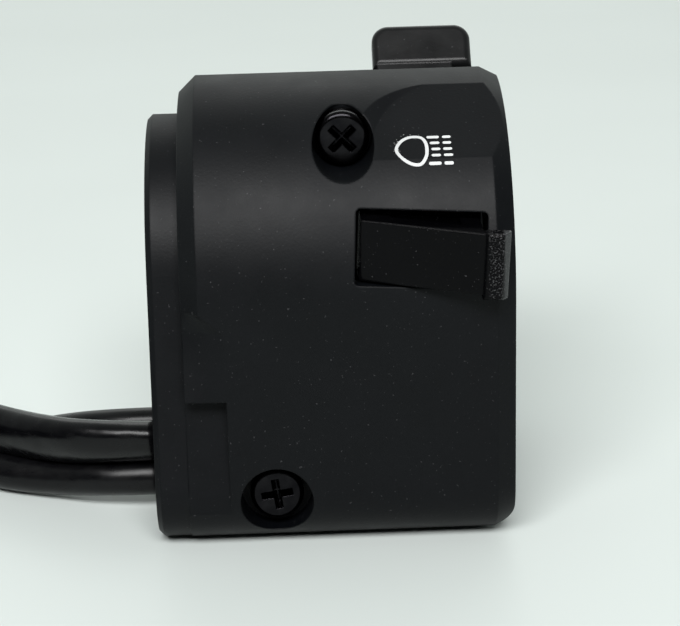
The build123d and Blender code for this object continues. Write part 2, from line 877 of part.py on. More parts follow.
# Trigger base: a plate with two ears for the pivot pin
ear_inner = trigger_height / 2 + ear_gap
ear_outer = ear_inner + ear_thickness
trigger_base_back_y = trigger_base_front_y + base_thickness
with BuildPart() as trigger_base:
    with BuildSketch(post_plane):
        with Locations((0, trigger_base_top)):
            Rectangle(
                trigger_base_length,
                trigger_base_top + trigger_base_foot,
                align=(Align.CENTER, Align.MAX),
            )
        with Locations((trigger_high_post_x, trigger_high_post_z)):
            Circle(trigger_post_radius + running_clearance)
            Rectangle(
                2 * trigger_post_radius,
                trigger_post_radius + trigger_high_post_z - trigger_base_top,
                align=(Align.CENTER, Align.MAX),
            )
    extrude(amount=-base_thickness)
    for side in (-1, 1):
        with BuildSketch(trigger_plane.offset(side * ear_inner)):
            with Locations((trigger_pivot_x, trigger_base_front_y)):
                Rectangle(
                    2 * ear_radius,
                    trigger_base_front_y - trigger_pivot_y,
                    align=(Align.CENTER, Align.MAX),
                )
            with Locations((trigger_pivot_x, trigger_pivot_y)):
                Circle(ear_radius)
        extrude(amount=side * ear_thickness)
    with BuildSketch(trigger_plane.offset(-ear_outer - overrun)):
        with Locations((trigger_pivot_x, trigger_pivot_y)):
            Circle(trigger_pin_radius)
    extrude(amount=2 * (ear_outer + overrun), mode=Mode.SUBTRACT)
    with BuildSketch(post_plane):
        with Locations(*trigger_posts):
            Circle(small_screw_radius + pilot_clearance)
    extrude(amount=-base_thickness, mode=Mode.SUBTRACT)

with BuildPart() as trigger_pivot_pin:
    with BuildSketch(trigger_plane.offset(-ear_outer)):
        with Locations((trigger_pivot_x, trigger_pivot_y)):
            Circle(trigger_pin_radius)
    extrude(amount=2 * ear_outer)

with BuildPart() as trigger_fixed_contacts:
    for side in (-1, 1):
        with BuildSketch(
            trigger_plane.offset(side * contact_spacing / 2 - contact_width / 2)
        ):
            with Locations((trigger_plunger_x, trigger_base_front_y)):
                Rectangle(contact_length, contact_thickness, align=(Align.CENTER, Align.MAX))
        extrude(amount=contact_width)


def small_screws(plane, places, sense):
    """Pan-head screws whose heads sit on plane and whose shanks run along sense."""
    with BuildSketch(plane) as section:
        with Locations(*places):
            Circle(small_screw_radius)
    extrude(section.sketch, amount=sense * small_screw_length)
    with BuildSketch(plane) as section:
        with Locations(*places):
            Circle(small_head_radius)
    extrude(section.sketch, amount=-sense * small_head_height)


with BuildPart() as trigger_base_screws:
    small_screws(post_plane.offset(-base_thickness), trigger_posts, 1)


def coil_spring(plane, length, radius, turns):
    """An open coil of round wire standing on plane."""
    rise = length - 2 * spring_wire_radius - 2 * spring_end_gap
    foot = plane.offset(spring_wire_radius + spring_end_gap)
    with BuildLine():
        coil = Helix(
            pitch=rise / turns,
            height=rise,
            radius=radius,
            center=foot.origin,
            direction=foot.z_dir,
        )
    with BuildSketch(Plane(origin=coil @ 0, z_dir=coil % 0)) as section:
        Circle(spring_wire_radius)
    sweep(section.sketch, path=coil, is_frenet=True)


trigger_spring_plane = Plane(
    origin=trigger_plane.from_local_coords((trigger_spring_x, trigger_base_front_y, 0)),
    x_dir=trigger_plane.x_dir,
    z_dir=(0, -1, 0),
)
with BuildPart() as trigger_spring:
    coil_spring(
        trigger_spring_plane,
        trigger_base_front_y - trigger_seat_y,
        spring_radius,
        spring_turns,
    )

# Dimmer rocker: a drum with a finger wing that flares once it is clear of the shell
wing_out = Plane(
    origin=(0, dimmer_pivot_y, dimmer_pivot_z),
    x_dir=(0, cos(radians(dimmer_wing_angle)), sin(radians(dimmer_wing_angle))),
    z_dir=(1, 0, 0),
)
floor_out = Plane(
    origin=(0, dimmer_pivot_y, dimmer_pivot_z),
    x_dir=(0, cos(radians(dimmer_lean)), sin(radians(dimmer_lean))),
    z_dir=(1, 0, 0),
)
dimmer_drum_right_x = dimmer_drum_left_x + dimmer_drum_length
dimmer_bridge_face = dimmer_floor_depth - dimmer_floor_thickness - dimmer_contact_height
wing_plane = Plane(
    origin=(dimmer_drum_left_x - dimmer_flare_left, dimmer_pivot_y, dimmer_pivot_z),
    x_dir=(1, 0, 0),
    z_dir=(0, -sin(radians(dimmer_wing_angle)), cos(radians(dimmer_wing_angle))),
)
with BuildPart() as dimmer_wing:
    with BuildSketch(wing_plane.offset(-dimmer_wing_half)):
        with Locations((0, dimmer_flare_radius)):
            RectangleRounded(
                dimmer_flare_left + dimmer_drum_length + dimmer_flare_right,
                dimmer_wing_reach - dimmer_flare_radius,
                dimmer_wing_corner,
                align=(Align.MIN, Align.MIN),
            )
            Rectangle(
                dimmer_flare_left + dimmer_drum_length + dimmer_flare_right,
                dimmer_wing_corner,
                align=(Align.MIN, Align.MIN),
            )
    extrude(amount=2 * dimmer_wing_half)
    wing_sides = dimmer_wing.faces().sort_by(Axis(wing_plane.origin, wing_plane.z_dir))
    fillet(wing_sides[0].edges() + wing_sides[-1].edges(), dimmer_wing_round)
with BuildPart() as dimmer_rocker:
    with BuildSketch(wing_out.offset(dimmer_drum_left_x)):
        Circle(dimmer_drum_radius)
        Rectangle(
            (dimmer_flare_radius + dimmer_wing_reach) / 2,
            2 * (dimmer_wing_half - dimmer_neck_inset),
            align=(Align.MIN, Align.CENTER),
        )
    extrude(amount=dimmer_drum_length)
    add(dimmer_wing.part)
    with BuildSketch(floor_out.offset(dimmer_drum_left_x - overrun)):
        with Locations((-dimmer_drum_radius - overrun, 0)):
            Rectangle(
                2 * overrun, 2 * dimmer_drum_radius, align=(Align.MIN, Align.CENTER)
            )
    extrude(amount=dimmer_drum_length + 2 * overrun, mode=Mode.SUBTRACT)
    with BuildSketch(wing_out.offset(dimmer_drum_left_x - overrun)):
        Circle(dimmer_pin_radius + running_clearance)
    extrude(amount=dimmer_drum_length + 2 * overrun, mode=Mode.SUBTRACT)

with BuildPart() as dimmer_pivot_pin:
    with BuildSketch(across(dimmer_drum_left_x - dimmer_gap / 2 - dimmer_cheek)):
        with Locations((dimmer_pivot_y, dimmer_pivot_z)):
            Circle(dimmer_pin_radius)
    extrude(amount=dimmer_drum_length + dimmer_gap + 2 * dimmer_cheek)

with BuildPart() as dimmer_base:
    cheek_left = dimmer_drum_left_x - dimmer_gap / 2 - dimmer_cheek
    cheek_right = dimmer_drum_right_x + dimmer_gap / 2
    for x in (cheek_left, cheek_right):
        with BuildSketch(floor_out.offset(x)):
            with Locations((-dimmer_floor_depth, 0)):
                Rectangle(
                    dimmer_floor_depth + dimmer_cheek_top,
                    2 * dimmer_cheek_half,
                    align=(Align.MIN, Align.CENTER),
                )
            Circle(dimmer_pin_radius, mode=Mode.SUBTRACT)
        extrude(amount=dimmer_cheek)
    with BuildSketch(floor_out.offset(cheek_left)):
        with Locations((-dimmer_floor_depth, 0)):
            Rectangle(
                dimmer_floor_thickness,
                2 * dimmer_floor_half,
                align=(Align.MIN, Align.CENTER),
            )
    extrude(amount=cheek_right + dimmer_cheek - cheek_left)

# Contact bridge under the drum, and the fixed contact rivets on the base's floor
drum_middle_x = (dimmer_drum_left_x + dimmer_drum_right_x) / 2
bridge_face = dimmer_drum_radius - overrun
with BuildPart() as dimmer_contact_bridge:
    with BuildSketch(floor_out.offset(drum_middle_x - contact_spacing)):
        with Locations((-bridge_face, 0)):
            Rectangle(
                dimmer_bridge_thickness, contact_length, align=(Align.MAX, Align.CENTER)
            )
    extrude(amount=2 * contact_spacing)
rivet_plane = Plane(
    origin=floor_out.from_local_coords((dimmer_floor_thickness - dimmer_floor_depth, 0, 0)),
    x_dir=(1, 0, 0),
    z_dir=floor_out.x_dir,
)
with BuildPart() as dimmer_fixed_contacts:
    with BuildSketch(rivet_plane):
        with Locations((drum_middle_x, 0)):
            with GridLocations(dimmer_contact_spacing, 0, contact_count, 1):
                Circle(dimmer_contact_radius)
    extrude(amount=dimmer_contact_height)

# Turn-signal carriage, knob and base
carriage_back = rear_inner_y - turn_carriage_gap - turn_carriage_thickness
carriage_face = rear_inner_y - turn_carriage_gap
knob_foot = rear_depth - turn_knob_skirt
with BuildPart() as turn_carriage:
    with BuildSketch(upright(carriage_face)):
        with Locations((turn_x, turn_z)):
            Rectangle(turn_carriage_length, turn_carriage_height)
            Rectangle(
                turn_stem_width + 2 * turn_stem_gap,
                turn_stem_width + 2 * turn_stem_gap,
                mode=Mode.SUBTRACT,
            )
    extrude(amount=turn_carriage_thickness)
    fillet(turn_carriage.edges().filter_by(Axis.Y).group_by(Axis.X)[0], turn_window_gap)

with BuildPart() as turn_knob:
    with BuildSketch(upright(knob_foot)):
        with Locations((turn_x, turn_z)):
            RectangleRounded(turn_knob_width, turn_knob_height, turn_knob_round)
    extrude(amount=-turn_knob_skirt - turn_knob_proud)
    fillet(turn_knob.faces().sort_by(Axis.Y)[-1].edges(), turn_knob_round / 2)
    with BuildSketch(upright(knob_foot)):
        with Locations((turn_x, turn_z)):
            Rectangle(turn_stem_width, turn_stem_width)
    extrude(amount=turn_stem_length)
    # Grip grooves across the knob's face
    with BuildSketch(upright(rear_depth + turn_knob_proud + overrun)):
        with Locations((turn_x, turn_z)):
            with GridLocations(turn_grip_pitch, 0, turn_grip_count, 1):
                Rectangle(turn_grip_depth, turn_knob_height + overrun)
    extrude(amount=overrun + turn_grip_depth, mode=Mode.SUBTRACT)

with BuildPart() as turn_cancel_spring:
    coil_spring(
        Plane(origin=(turn_x, knob_foot, turn_z), x_dir=(1, 0, 0), z_dir=(0, -1, 0)),
        knob_foot - carriage_face,
        turn_stem_width / 2 * sqrt(2) + spring_wire_radius + 2 * spring_end_gap,
        turn_spring_turns,
    )

turn_base_half = turn_carriage_length / 2 + turn_travel + turn_rail_gap
turn_rail_inner = turn_carriage_height / 2 + turn_rail_gap
turn_rail_outer = turn_rail_inner + turn_rail_thickness
with BuildPart() as turn_base:
    with BuildSketch(upright(turn_base_front)):
        with Locations((turn_x, turn_z)):
            Rectangle(
                2 * (turn_base_half + turn_rail_thickness), 2 * turn_rail_outer
            )
        for place in turn_posts:
            sense = 1 if place[1] > turn_z else -1
            with Locations(place):
                Circle(turn_post_radius)
            with Locations((place[0], (place[1] + turn_z + sense * turn_rail_inner) / 2)):
                Rectangle(
                    2 * turn_post_radius, abs(place[1] - turn_z) - turn_rail_inner
                )
        with Locations(*turn_posts):
            Circle(small_screw_radius + pilot_clearance, mode=Mode.SUBTRACT)
    extrude(amount=turn_base_thickness)
    with BuildSketch(upright(turn_base_front)):
        with Locations((turn_x, turn_z)):
            Rectangle(
                2 * (turn_base_half + turn_rail_thickness), 2 * turn_rail_outer
            )
            Rectangle(2 * turn_base_half, 2 * turn_rail_inner, mode=Mode.SUBTRACT)
    extrude(amount=turn_base_front - rear_inner_y + turn_rail_relief)

with BuildPart() as turn_wiper:
    with BuildSketch(upright(carriage_back)):
        with Locations((turn_x, turn_z + contact_spacing)):
            Rectangle(contact_length, contact_width)
        with Locations((turn_x, turn_z - contact_spacing)):
            Rectangle(contact_length, contact_width)
        with Locations((turn_x - contact_length / 2, turn_z)):
            Rectangle(
                contact_width, 2 * contact_spacing, align=(Align.MAX, Align.CENTER)
            )
    extrude(amount=turn_wiper_thickness)
    with BuildSketch(upright(carriage_back - turn_wiper_thickness)):
        with Locations((turn_x, turn_z + contact_spacing), (turn_x, turn_z - contact_spacing)):
            Rectangle(contact_width, contact_width)
    extrude(
        amount=carriage_back
        - turn_wiper_thickness
        - turn_base_front
        - contact_thickness
        - turn_wiper_gap
    )

with BuildPart() as turn_fixed_contacts:
    with BuildSketch(upright(turn_base_front)):
        with Locations((turn_x, turn_z - contact_spacing)):
            Rectangle(2 * turn_travel + contact_length, contact_width)
        with Locations((turn_x, turn_z + contact_spacing)):
            with GridLocations(turn_travel + contact_width, 0, contact_count, 1):
                Rectangle(contact_width + turn_travel / 2, contact_width)
    extrude(amount=-contact_thickness)

with BuildPart() as turn_base_screws:
    small_screws(upright(turn_base_back), turn_posts, -1)

# Horn button, its spring, contacts and base
flange_face = rear_inner_y - horn_flange_gap
flange_back = flange_face - horn_flange_thickness
horn_contact_front = horn_base_front + contact_thickness
horn_plate_back = horn_contact_front + horn_travel + running_clearance
horn_stem_foot = horn_plate_back
with BuildPart() as horn_button:
    with BuildSketch(upright(flange_back)):
        with Locations((horn_x, horn_z)):
            Circle(horn_flange_radius)
    extrude(amount=-horn_flange_thickness)
    with BuildSketch(upright(flange_face)):
        with Locations((horn_x, horn_z)):
            Circle(horn_radius)
    extrude(amount=-(rear_depth + horn_proud - flange_face))
    fillet(horn_button.faces().sort_by(Axis.Y)[-1].edges(), horn_round)
    with BuildSketch(upright(flange_back)):
        with Locations((horn_x, horn_z)):
            Circle(horn_stem_radius)
    extrude(amount=flange_back - horn_stem_foot)
dish_centre_y = rear_depth + horn_proud + horn_dish_radius - horn_dish_depth
with BuildPart() as horn_dish:
    with Locations((horn_x, dish_centre_y, horn_z)):
        Sphere(horn_dish_radius)
with BuildPart() as horn_button_dished:
    add(horn_button.part)
    add(horn_dish.part, mode=Mode.SUBTRACT)

with BuildPart() as horn_moving_contact:
    with BuildSketch(upright(horn_plate_back + horn_plate_thickness)):
        with Locations((horn_x, horn_z)):
            Circle(horn_plate_radius)
            Circle(horn_stem_radius, mode=Mode.SUBTRACT)
    extrude(amount=horn_plate_thickness)

horn_spring_radius = horn_plate_radius + spring_radius
with BuildPart() as horn_spring:
    coil_spring(
        Plane(origin=(horn_x, horn_base_front, horn_z), x_dir=(1, 0, 0), z_dir=(0, 1, 0)),
        flange_back - horn_base_front,
        horn_spring_radius,
        horn_spring_turns,
    )

with BuildPart() as horn_base:
    with BuildSketch(upright(horn_base_front)):
        with Locations((horn_x - horn_base_left, horn_z + horn_base_top)):
            Rectangle(
                horn_base_left + horn_base_right,
                horn_base_top - horn_base_step,
                align=(Align.MIN, Align.MAX),
            )
        with Locations((horn_x - horn_base_narrow, horn_z + horn_base_top)):
            Rectangle(
                horn_base_narrow + horn_base_right,
                horn_base_top + horn_base_foot,
                align=(Align.MIN, Align.MAX),
            )
        with Locations(*horn_posts):
            Circle(small_screw_radius + pilot_clearance, mode=Mode.SUBTRACT)
    extrude(amount=base_thickness)

with BuildPart() as horn_fixed_contacts:
    with BuildSketch(upright(horn_base_front)):
        with Locations((horn_x, horn_z)):
            with GridLocations(0, contact_spacing, 1, horn_contact_count):
                Rectangle(contact_length, contact_width)
    extrude(amount=-contact_thickness)

with BuildPart() as horn_base_screws:
    small_screws(upright(horn_base_back), horn_posts, -1)

# Grommet that closes the cable exit
with BuildPart() as cable_grommet:
    with BuildSketch(across(left_end - grommet_proud)):
        with Locations((grommet_gap - exit_front, base_z + exit_base + grommet_gap)):
            RectangleRounded(
                exit_front + exit_corner,
                exit_top - base_z - exit_base - 2 * grommet_gap,
                exit_corner - grommet_gap,
                align=(Align.MIN, Align.MIN),
            )
    extrude(amount=grommet_inner_x - left_end + grommet_proud)
    with BuildSketch(across(left_end + end_wall + grommet_gap)):
        with Locations((-exit_front - grommet_flange, base_z + wall + grommet_gap)):
            RectangleRounded(
                exit_front + grommet_flange + exit_corner,
                exit_top - base_z - wall + grommet_flange - grommet_gap,
                exit_corner / 2,
                align=(Align.MIN, Align.MIN),
            )
    extrude(amount=grommet_flange_length - grommet_gap)
    trim_front()


def bend_radii(points):
    """Bend radii along a route: a share of the shorter run over the tangent of half the turn."""
    places = [Vector(*p) for p in points]
    radii = []
    for before, at, after in zip(places, places[1:], places[2:]):
        first = at - before
        second = after - at
        turn = radians(first.get_angle(second))
        radii.append(bend_share * min(first.length, second.length) / tan(turn / 2))
    return radii


def route_tube(points, radius):
    """A round tube along a route of straight runs and tangent arcs."""
    with BuildLine():
        path = FilletPolyline(*points, radius=bend_radii(points))
    with BuildSketch(Plane(origin=path @ 0, z_dir=path % 0)) as section:
        Circle(radius)
    sweep(section.sketch, path=path)
    return path.length


def report_cord(name, part, points, radius, length):
    """Prints a cord's length, its bend radii and how near its volume is to the ideal."""
    ideal = pi * radius**2 * length
    radii = ", ".join(f"{r:.0f}" for r in bend_radii(points))
    share = part.part.volume / ideal
    print(f"{name}: length {length:.1f}, volume share {share:.4f}, bend radii {radii}")


# Leads inside the housing, from the grommet to each switch base
dimmer_lead_end = floor_out.from_local_coords((-dimmer_floor_depth / 2, 0, cheek_left))
trigger_lead_turn = post_plane.from_local_coords(
    (0, -trigger_base_foot - lead_step, -base_thickness / 2)
)
trigger_lead_end = post_plane.from_local_coords(
    (0, -trigger_base_foot, -base_thickness / 2)
)
turn_lead_x = turn_x - turn_base_half + inner_lead_radius
turn_lead_y = turn_base_back + turn_base_thickness / 2
turn_lead_z = turn_z - turn_rail_outer
horn_lead_x = horn_x - horn_base_narrow
horn_lead_y = horn_base_back + base_thickness / 2
horn_lead_z = horn_z - inner_lead_radius / 2
riser_x = cavity_left + inner_lead_radius + lead_gap
dimmer_lead_z = base_z + wall + inner_lead_radius + lead_gap
turn_lead_start_z = exit_top - 2 * lead_step + 2 * inner_lead_radius
trigger_lead_route = [
    (grommet_inner_x, -exit_front + lead_step, exit_top - lead_step / 2),
    (riser_x, -exit_front + lead_step, exit_top - lead_step / 2),
    (-lead_step, trigger_base_front_y, exit_top + lead_step),
    (trigger_x - 2 * lead_step, trigger_base_front_y, exit_top + lead_step),
    tuple(trigger_lead_turn),
    tuple(trigger_lead_end),
]
horn_lead_route = [
    (grommet_inner_x, -lead_step / 2, exit_top - lead_step / 2),
    (riser_x, -lead_step / 2, exit_top - lead_step / 2),
    (horn_lead_x - 2 * lead_step, lead_step, horn_lead_z),
    (horn_lead_x - lead_step, horn_lead_y, horn_lead_z),
    (horn_lead_x, horn_lead_y, horn_lead_z),
]
turn_lead_route = [
    (grommet_inner_x, -2 * lead_step, turn_lead_start_z),
    (riser_x - inner_lead_radius, -2 * lead_step, turn_lead_start_z),
    (riser_x, lead_step, exit_top - lead_step + inner_lead_radius),
    (turn_lead_x, turn_lead_y, turn_lead_z - 2 * lead_step),
    (turn_lead_x, turn_lead_y, turn_lead_z),
]
dimmer_lead_route = [
    (grommet_inner_x, -lead_step, dimmer_lead_z),
    (riser_x - inner_lead_radius, -lead_step, dimmer_lead_z),
    (riser_x, 3 * lead_step, exit_top - lead_step),
    (riser_x, dimmer_lead_end.Y + inner_lead_radius, turn_z - lead_step),
    (riser_x, dimmer_lead_end.Y + inner_lead_radius, turn_z + 2 * lead_step),
    (riser_x + lead_step, dimmer_lead_end.Y, dimmer_lead_end.Z),
    tuple(dimmer_lead_end),
]
with BuildPart() as trigger_lead:
    trigger_lead_length = route_tube(trigger_lead_route, inner_lead_radius)
with BuildPart() as horn_lead:
    horn_lead_length = route_tube(horn_lead_route, inner_lead_radius)
with BuildPart() as turn_lead:
    turn_lead_length = route_tube(turn_lead_route, inner_lead_radius)
with BuildPart() as dimmer_lead:
    dimmer_lead_length = route_tube(dimmer_lead_route, inner_lead_radius)
for name, part, route, length in (
    ("trigger_lead", trigger_lead, trigger_lead_route, trigger_lead_length),
    ("horn_lead", horn_lead, horn_lead_route, horn_lead_length),
    ("turn_lead", turn_lead, turn_lead_route, turn_lead_length),
    ("dimmer_lead", dimmer_lead, dimmer_lead_route, dimmer_lead_length),
):
    report_cord(name, part, route, inner_lead_radius, length)

# Outer cables
with BuildPart() as main_lead:
    main_lead_length = route_tube(main_route, main_cord_radius)
with BuildPart() as second_lead:
    second_lead_length = route_tube(second_route, second_cord_radius)
with BuildPart() as clutch_lead:
    clutch_lead_length = route_tube(clutch_route, clutch_cord_radius)
report_cord("main_lead", main_lead, main_route, main_cord_radius, main_lead_length)
report_cord("second_lead", second_lead, second_route, second_cord_radius, second_lead_length)
report_cord("clutch_lead", clutch_lead, clutch_route, clutch_cord_radius, clutch_lead_length)


def flat_coil(start, radius):
    """A flat coil that winds inward from start, heading towards -X.

    Each half turn is one arc, and the radius drops by half the pitch from one to the
    next. The last stretch turns in to the middle on two quarter arcs.
    """
    with BuildLine() as turns:
        at = Line(start, (start[0] - 2 * radius, start[1], start[2]))
        for count in range(coil_half_turns):
            at = JernArc(at @ 1, at % 1, coil_outer_radius - count * coil_step, 180)
        at = JernArc(
            at @ 1, at % 1, coil_outer_radius - coil_half_turns * coil_step, 90
        )
        at = JernArc(at @ 1, at % 1, coil_inner_radius, 90)
        end = at @ 1
        Line(end, (end.X - 2 * radius, end.Y, end.Z))
    path = Wire(turns.edges())
    with BuildSketch(Plane(origin=path @ 0, z_dir=path % 0)) as section:
        Circle(radius)
    sweep(section.sketch, path=path)
    return path


def least_gap(line, radius):
    """The least gap between a coil's neighbouring turns, measured on points."""
    count = ceil(line.length / radius)
    places = [line @ (i / count) for i in range(count + 1)]
    apart = ceil(2 * coil_gap_skip * radius / (line.length / count))
    nearest = min(
        (places[i] - places[j]).length
        for i in range(len(places))
        for j in range(i + apart, len(places))
    )
    return nearest - 2 * radius


with BuildPart() as main_coil:
    main_turns = flat_coil(main_route[-1], main_cord_radius)
with BuildPart() as second_coil:
    second_turns = flat_coil(second_route[-1], second_cord_radius)
for name, part, line, radius in (
    ("main_coil", main_coil, main_turns, main_cord_radius),
    ("second_coil", second_coil, second_turns, second_cord_radius),
):
    share = part.part.volume / (pi * radius**2 * line.length)
    print(f"{name}: length {line.length:.1f}, volume share {share:.4f}, "
          f"least gap {least_gap(line, radius):.2f}")


def plug(body_plane, length, width, height, columns):
    """A nylon connector body standing on a plane, its back face square on the cord."""
    with BuildSketch(body_plane) as section:
        Rectangle(length, width, align=(Align.MIN, Align.CENTER))
    body = extrude(section.sketch, amount=height)
    fillet(body.edges().filter_by(Axis(body_plane.origin, body_plane.x_dir)), plug_round)
    face_plane = Plane(
        origin=body_plane.from_local_coords((length, 0, height / 2)),
        x_dir=body_plane.y_dir,
        z_dir=body_plane.x_dir,
    )
    with BuildSketch(face_plane) as section:
        with GridLocations(plug_pitch, 0, columns, 1):
            Rectangle(plug_hole, plug_hole)
    extrude(section.sketch, amount=-plug_hole_depth, mode=Mode.SUBTRACT)


def level_plane(end, height, direction):
    """A level plane at a height, below or above a cord's end, with x along the cord."""
    return Plane(origin=(end.X, end.Y, height), x_dir=direction, z_dir=(0, 0, 1))


clutch_plug_plane = level_plane(Vector(*clutch_route[-1]), base_z, (-1, 0, 0))
with BuildPart() as second_connector:
    plug(
        level_plane(second_turns @ 1, base_z, (-1, 0, 0)),
        main_plug_length,
        main_plug_width,
        second_plug_height,
        main_plug_columns,
    )
with BuildPart() as main_connector:
    plug(
        level_plane(
            main_turns @ 1, base_z + second_plug_height + plug_stack_gap, (-1, 0, 0)
        ),
        main_plug_length,
        main_plug_width,
        main_plug_height,
        main_plug_columns,
    )
with BuildPart() as clutch_connector:
    plug(clutch_plug_plane, small_plug_length, small_plug_width, small_plug_height, small_plug_columns)
    with BuildSketch(clutch_plug_plane.offset(small_plug_height)):
        with Locations((small_plug_length - latch_length, 0)):
            Rectangle(latch_length, latch_width, align=(Align.MIN, Align.CENTER))
    extrude(amount=latch_height)

# Strap round both layers of turns, its foot on the ground
tie_middle_x = main_route[-1][0] - 2 * main_cord_radius - coil_outer_radius + coil_step
tie_middle_y = main_route[-1][1] - coil_outer_radius
tie_inner_width = 2 * (coil_step + main_cord_radius + tie_gap)
tie_low = second_route[-1][2] - second_cord_radius - tie_gap
tie_inner_height = main_route[-1][2] + main_cord_radius + tie_gap - tie_low
with BuildPart() as coil_tie:
    with BuildSketch(upright(tie_middle_y - tie_width / 2)):
        with Locations((tie_middle_x, tie_low + tie_inner_height / 2)):
            RectangleRounded(
                tie_inner_width + 2 * tie_thickness,
                tie_inner_height + 2 * tie_thickness,
                tie_thickness,
            )
            Rectangle(tie_inner_width, tie_inner_height, mode=Mode.SUBTRACT)
    extrude(amount=-tie_width)

pieces = {
    "front_case": front_case,
    "rear_case": rear_case,
    "upper_clamp_screw": upper_clamp_screw,
    "lower_clamp_screw": lower_clamp_screw,
    "thread_inserts": thread_inserts,
    "trigger_lever": trigger_lever,
    "trigger_moving_contact": trigger_moving_contact,
    "trigger_base": trigger_base,
    "trigger_pivot_pin": trigger_pivot_pin,
    "trigger_fixed_contacts": trigger_fixed_contacts,
    "trigger_base_screws": trigger_base_screws,
    "trigger_spring": trigger_spring,
    "dimmer_rocker": dimmer_rocker,
    "dimmer_pivot_pin": dimmer_pivot_pin,
    "dimmer_base": dimmer_base,
    "dimmer_contact_bridge": dimmer_contact_bridge,
    "dimmer_fixed_contacts": dimmer_fixed_contacts,
    "turn_carriage": turn_carriage,
    "turn_knob": turn_knob,
    "turn_cancel_spring": turn_cancel_spring,
    "turn_base": turn_base,
    "turn_wiper": turn_wiper,
    "turn_fixed_contacts": turn_fixed_contacts,
    "turn_base_screws": turn_base_screws,
    "horn_button": horn_button_dished,
    "horn_moving_contact": horn_moving_contact,
    "horn_spring": horn_spring,
    "horn_base": horn_base,
    "horn_fixed_contacts": horn_fixed_contacts,
    "horn_base_screws": horn_base_screws,
    "cable_grommet": cable_grommet,
    "trigger_lead": trigger_lead,
    "horn_lead": horn_lead,
    "turn_lead": turn_lead,
    "dimmer_lead": dimmer_lead,
    "main_lead": main_lead,
    "main_coil": main_coil,
    "main_connector": main_connector,
    "second_lead": second_lead,
    "second_coil": second_coil,
    "second_connector": second_connector,
    "clutch_lead": clutch_lead,
    "clutch_connector": clutch_connector,
    "coil_tie": coil_tie,
}
for name, piece in pieces.items():
    piece.part.label = name
    export_step(piece.part, f"parts/{name}.step")
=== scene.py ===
"""Handlebar switch cluster on a pale table: cables, print, materials, lights, camera."""

import json
from math import cos, pi, radians, sin, sqrt
from random import Random

import bpy
from mathutils import Matrix, Vector


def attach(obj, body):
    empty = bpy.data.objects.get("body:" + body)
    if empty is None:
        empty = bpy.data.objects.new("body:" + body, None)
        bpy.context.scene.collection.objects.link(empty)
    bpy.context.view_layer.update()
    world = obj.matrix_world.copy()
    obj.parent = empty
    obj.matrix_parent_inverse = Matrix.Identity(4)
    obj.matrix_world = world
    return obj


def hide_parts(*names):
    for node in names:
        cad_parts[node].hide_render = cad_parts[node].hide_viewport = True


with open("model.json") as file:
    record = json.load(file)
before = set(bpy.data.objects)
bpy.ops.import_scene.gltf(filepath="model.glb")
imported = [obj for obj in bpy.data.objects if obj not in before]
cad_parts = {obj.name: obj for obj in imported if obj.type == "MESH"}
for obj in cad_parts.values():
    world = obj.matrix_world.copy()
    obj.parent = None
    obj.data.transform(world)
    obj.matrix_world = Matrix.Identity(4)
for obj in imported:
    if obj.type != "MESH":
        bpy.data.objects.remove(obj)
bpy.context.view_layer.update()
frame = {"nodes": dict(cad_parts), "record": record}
nodes = frame["nodes"]

MM = 0.001
FLOOR_Z = -0.0373


def put(name, data):
    """A new object in the scene."""
    made = bpy.data.objects.new(name, data)
    bpy.context.scene.collection.objects.link(made)
    return made


def put_mesh(name, verts, faces):
    mesh = bpy.data.meshes.new(name)
    mesh.from_pydata(verts, [], faces)
    mesh.validate()
    return put(name, mesh)


def join_loops(faces, low, high, count):
    """Quads between two closed loops of vertices, given by their first numbers."""
    for n in range(count):
        m = (n + 1) % count
        faces.append((low + n, low + m, high + m, high + n))


# Camera

CAMERA_TARGET = Vector((1.41, -20.0, -3.17)) * MM
CAMERA_DISTANCE = 0.300
CAMERA_AZIMUTH = radians(-1.35)
CAMERA_ELEVATION = radians(18.59)
CAMERA_ROLL = radians(-1.5)
SENSOR_WIDTH = 36.0
LENS = 108.3
NEAR_CLIP = 0.01


def place_camera():
    """The camera at the photograph's viewing angle, rolled a little to one side."""
    back = Vector((
        sin(CAMERA_AZIMUTH) * cos(CAMERA_ELEVATION),
        -cos(CAMERA_AZIMUTH) * cos(CAMERA_ELEVATION),
        sin(CAMERA_ELEVATION),
    ))
    level = Vector((-back.y, back.x, 0)).normalized()
    upward = back.cross(level)
    right = cos(CAMERA_ROLL) * level + sin(CAMERA_ROLL) * upward
    up = cos(CAMERA_ROLL) * upward - sin(CAMERA_ROLL) * level
    data = bpy.data.cameras.new("view")
    data.sensor_fit = "HORIZONTAL"
    data.sensor_width = SENSOR_WIDTH
    data.lens = LENS
    data.clip_start = NEAR_CLIP
    camera = put("view", data)
    turn = Matrix((right, up, back)).transposed().to_4x4()
    turn.translation = CAMERA_TARGET + CAMERA_DISTANCE * back
    camera.matrix_world = turn
    bpy.context.scene.camera = camera


place_camera()


# Cables: routes, coils and radii in millimetres, as in the solids

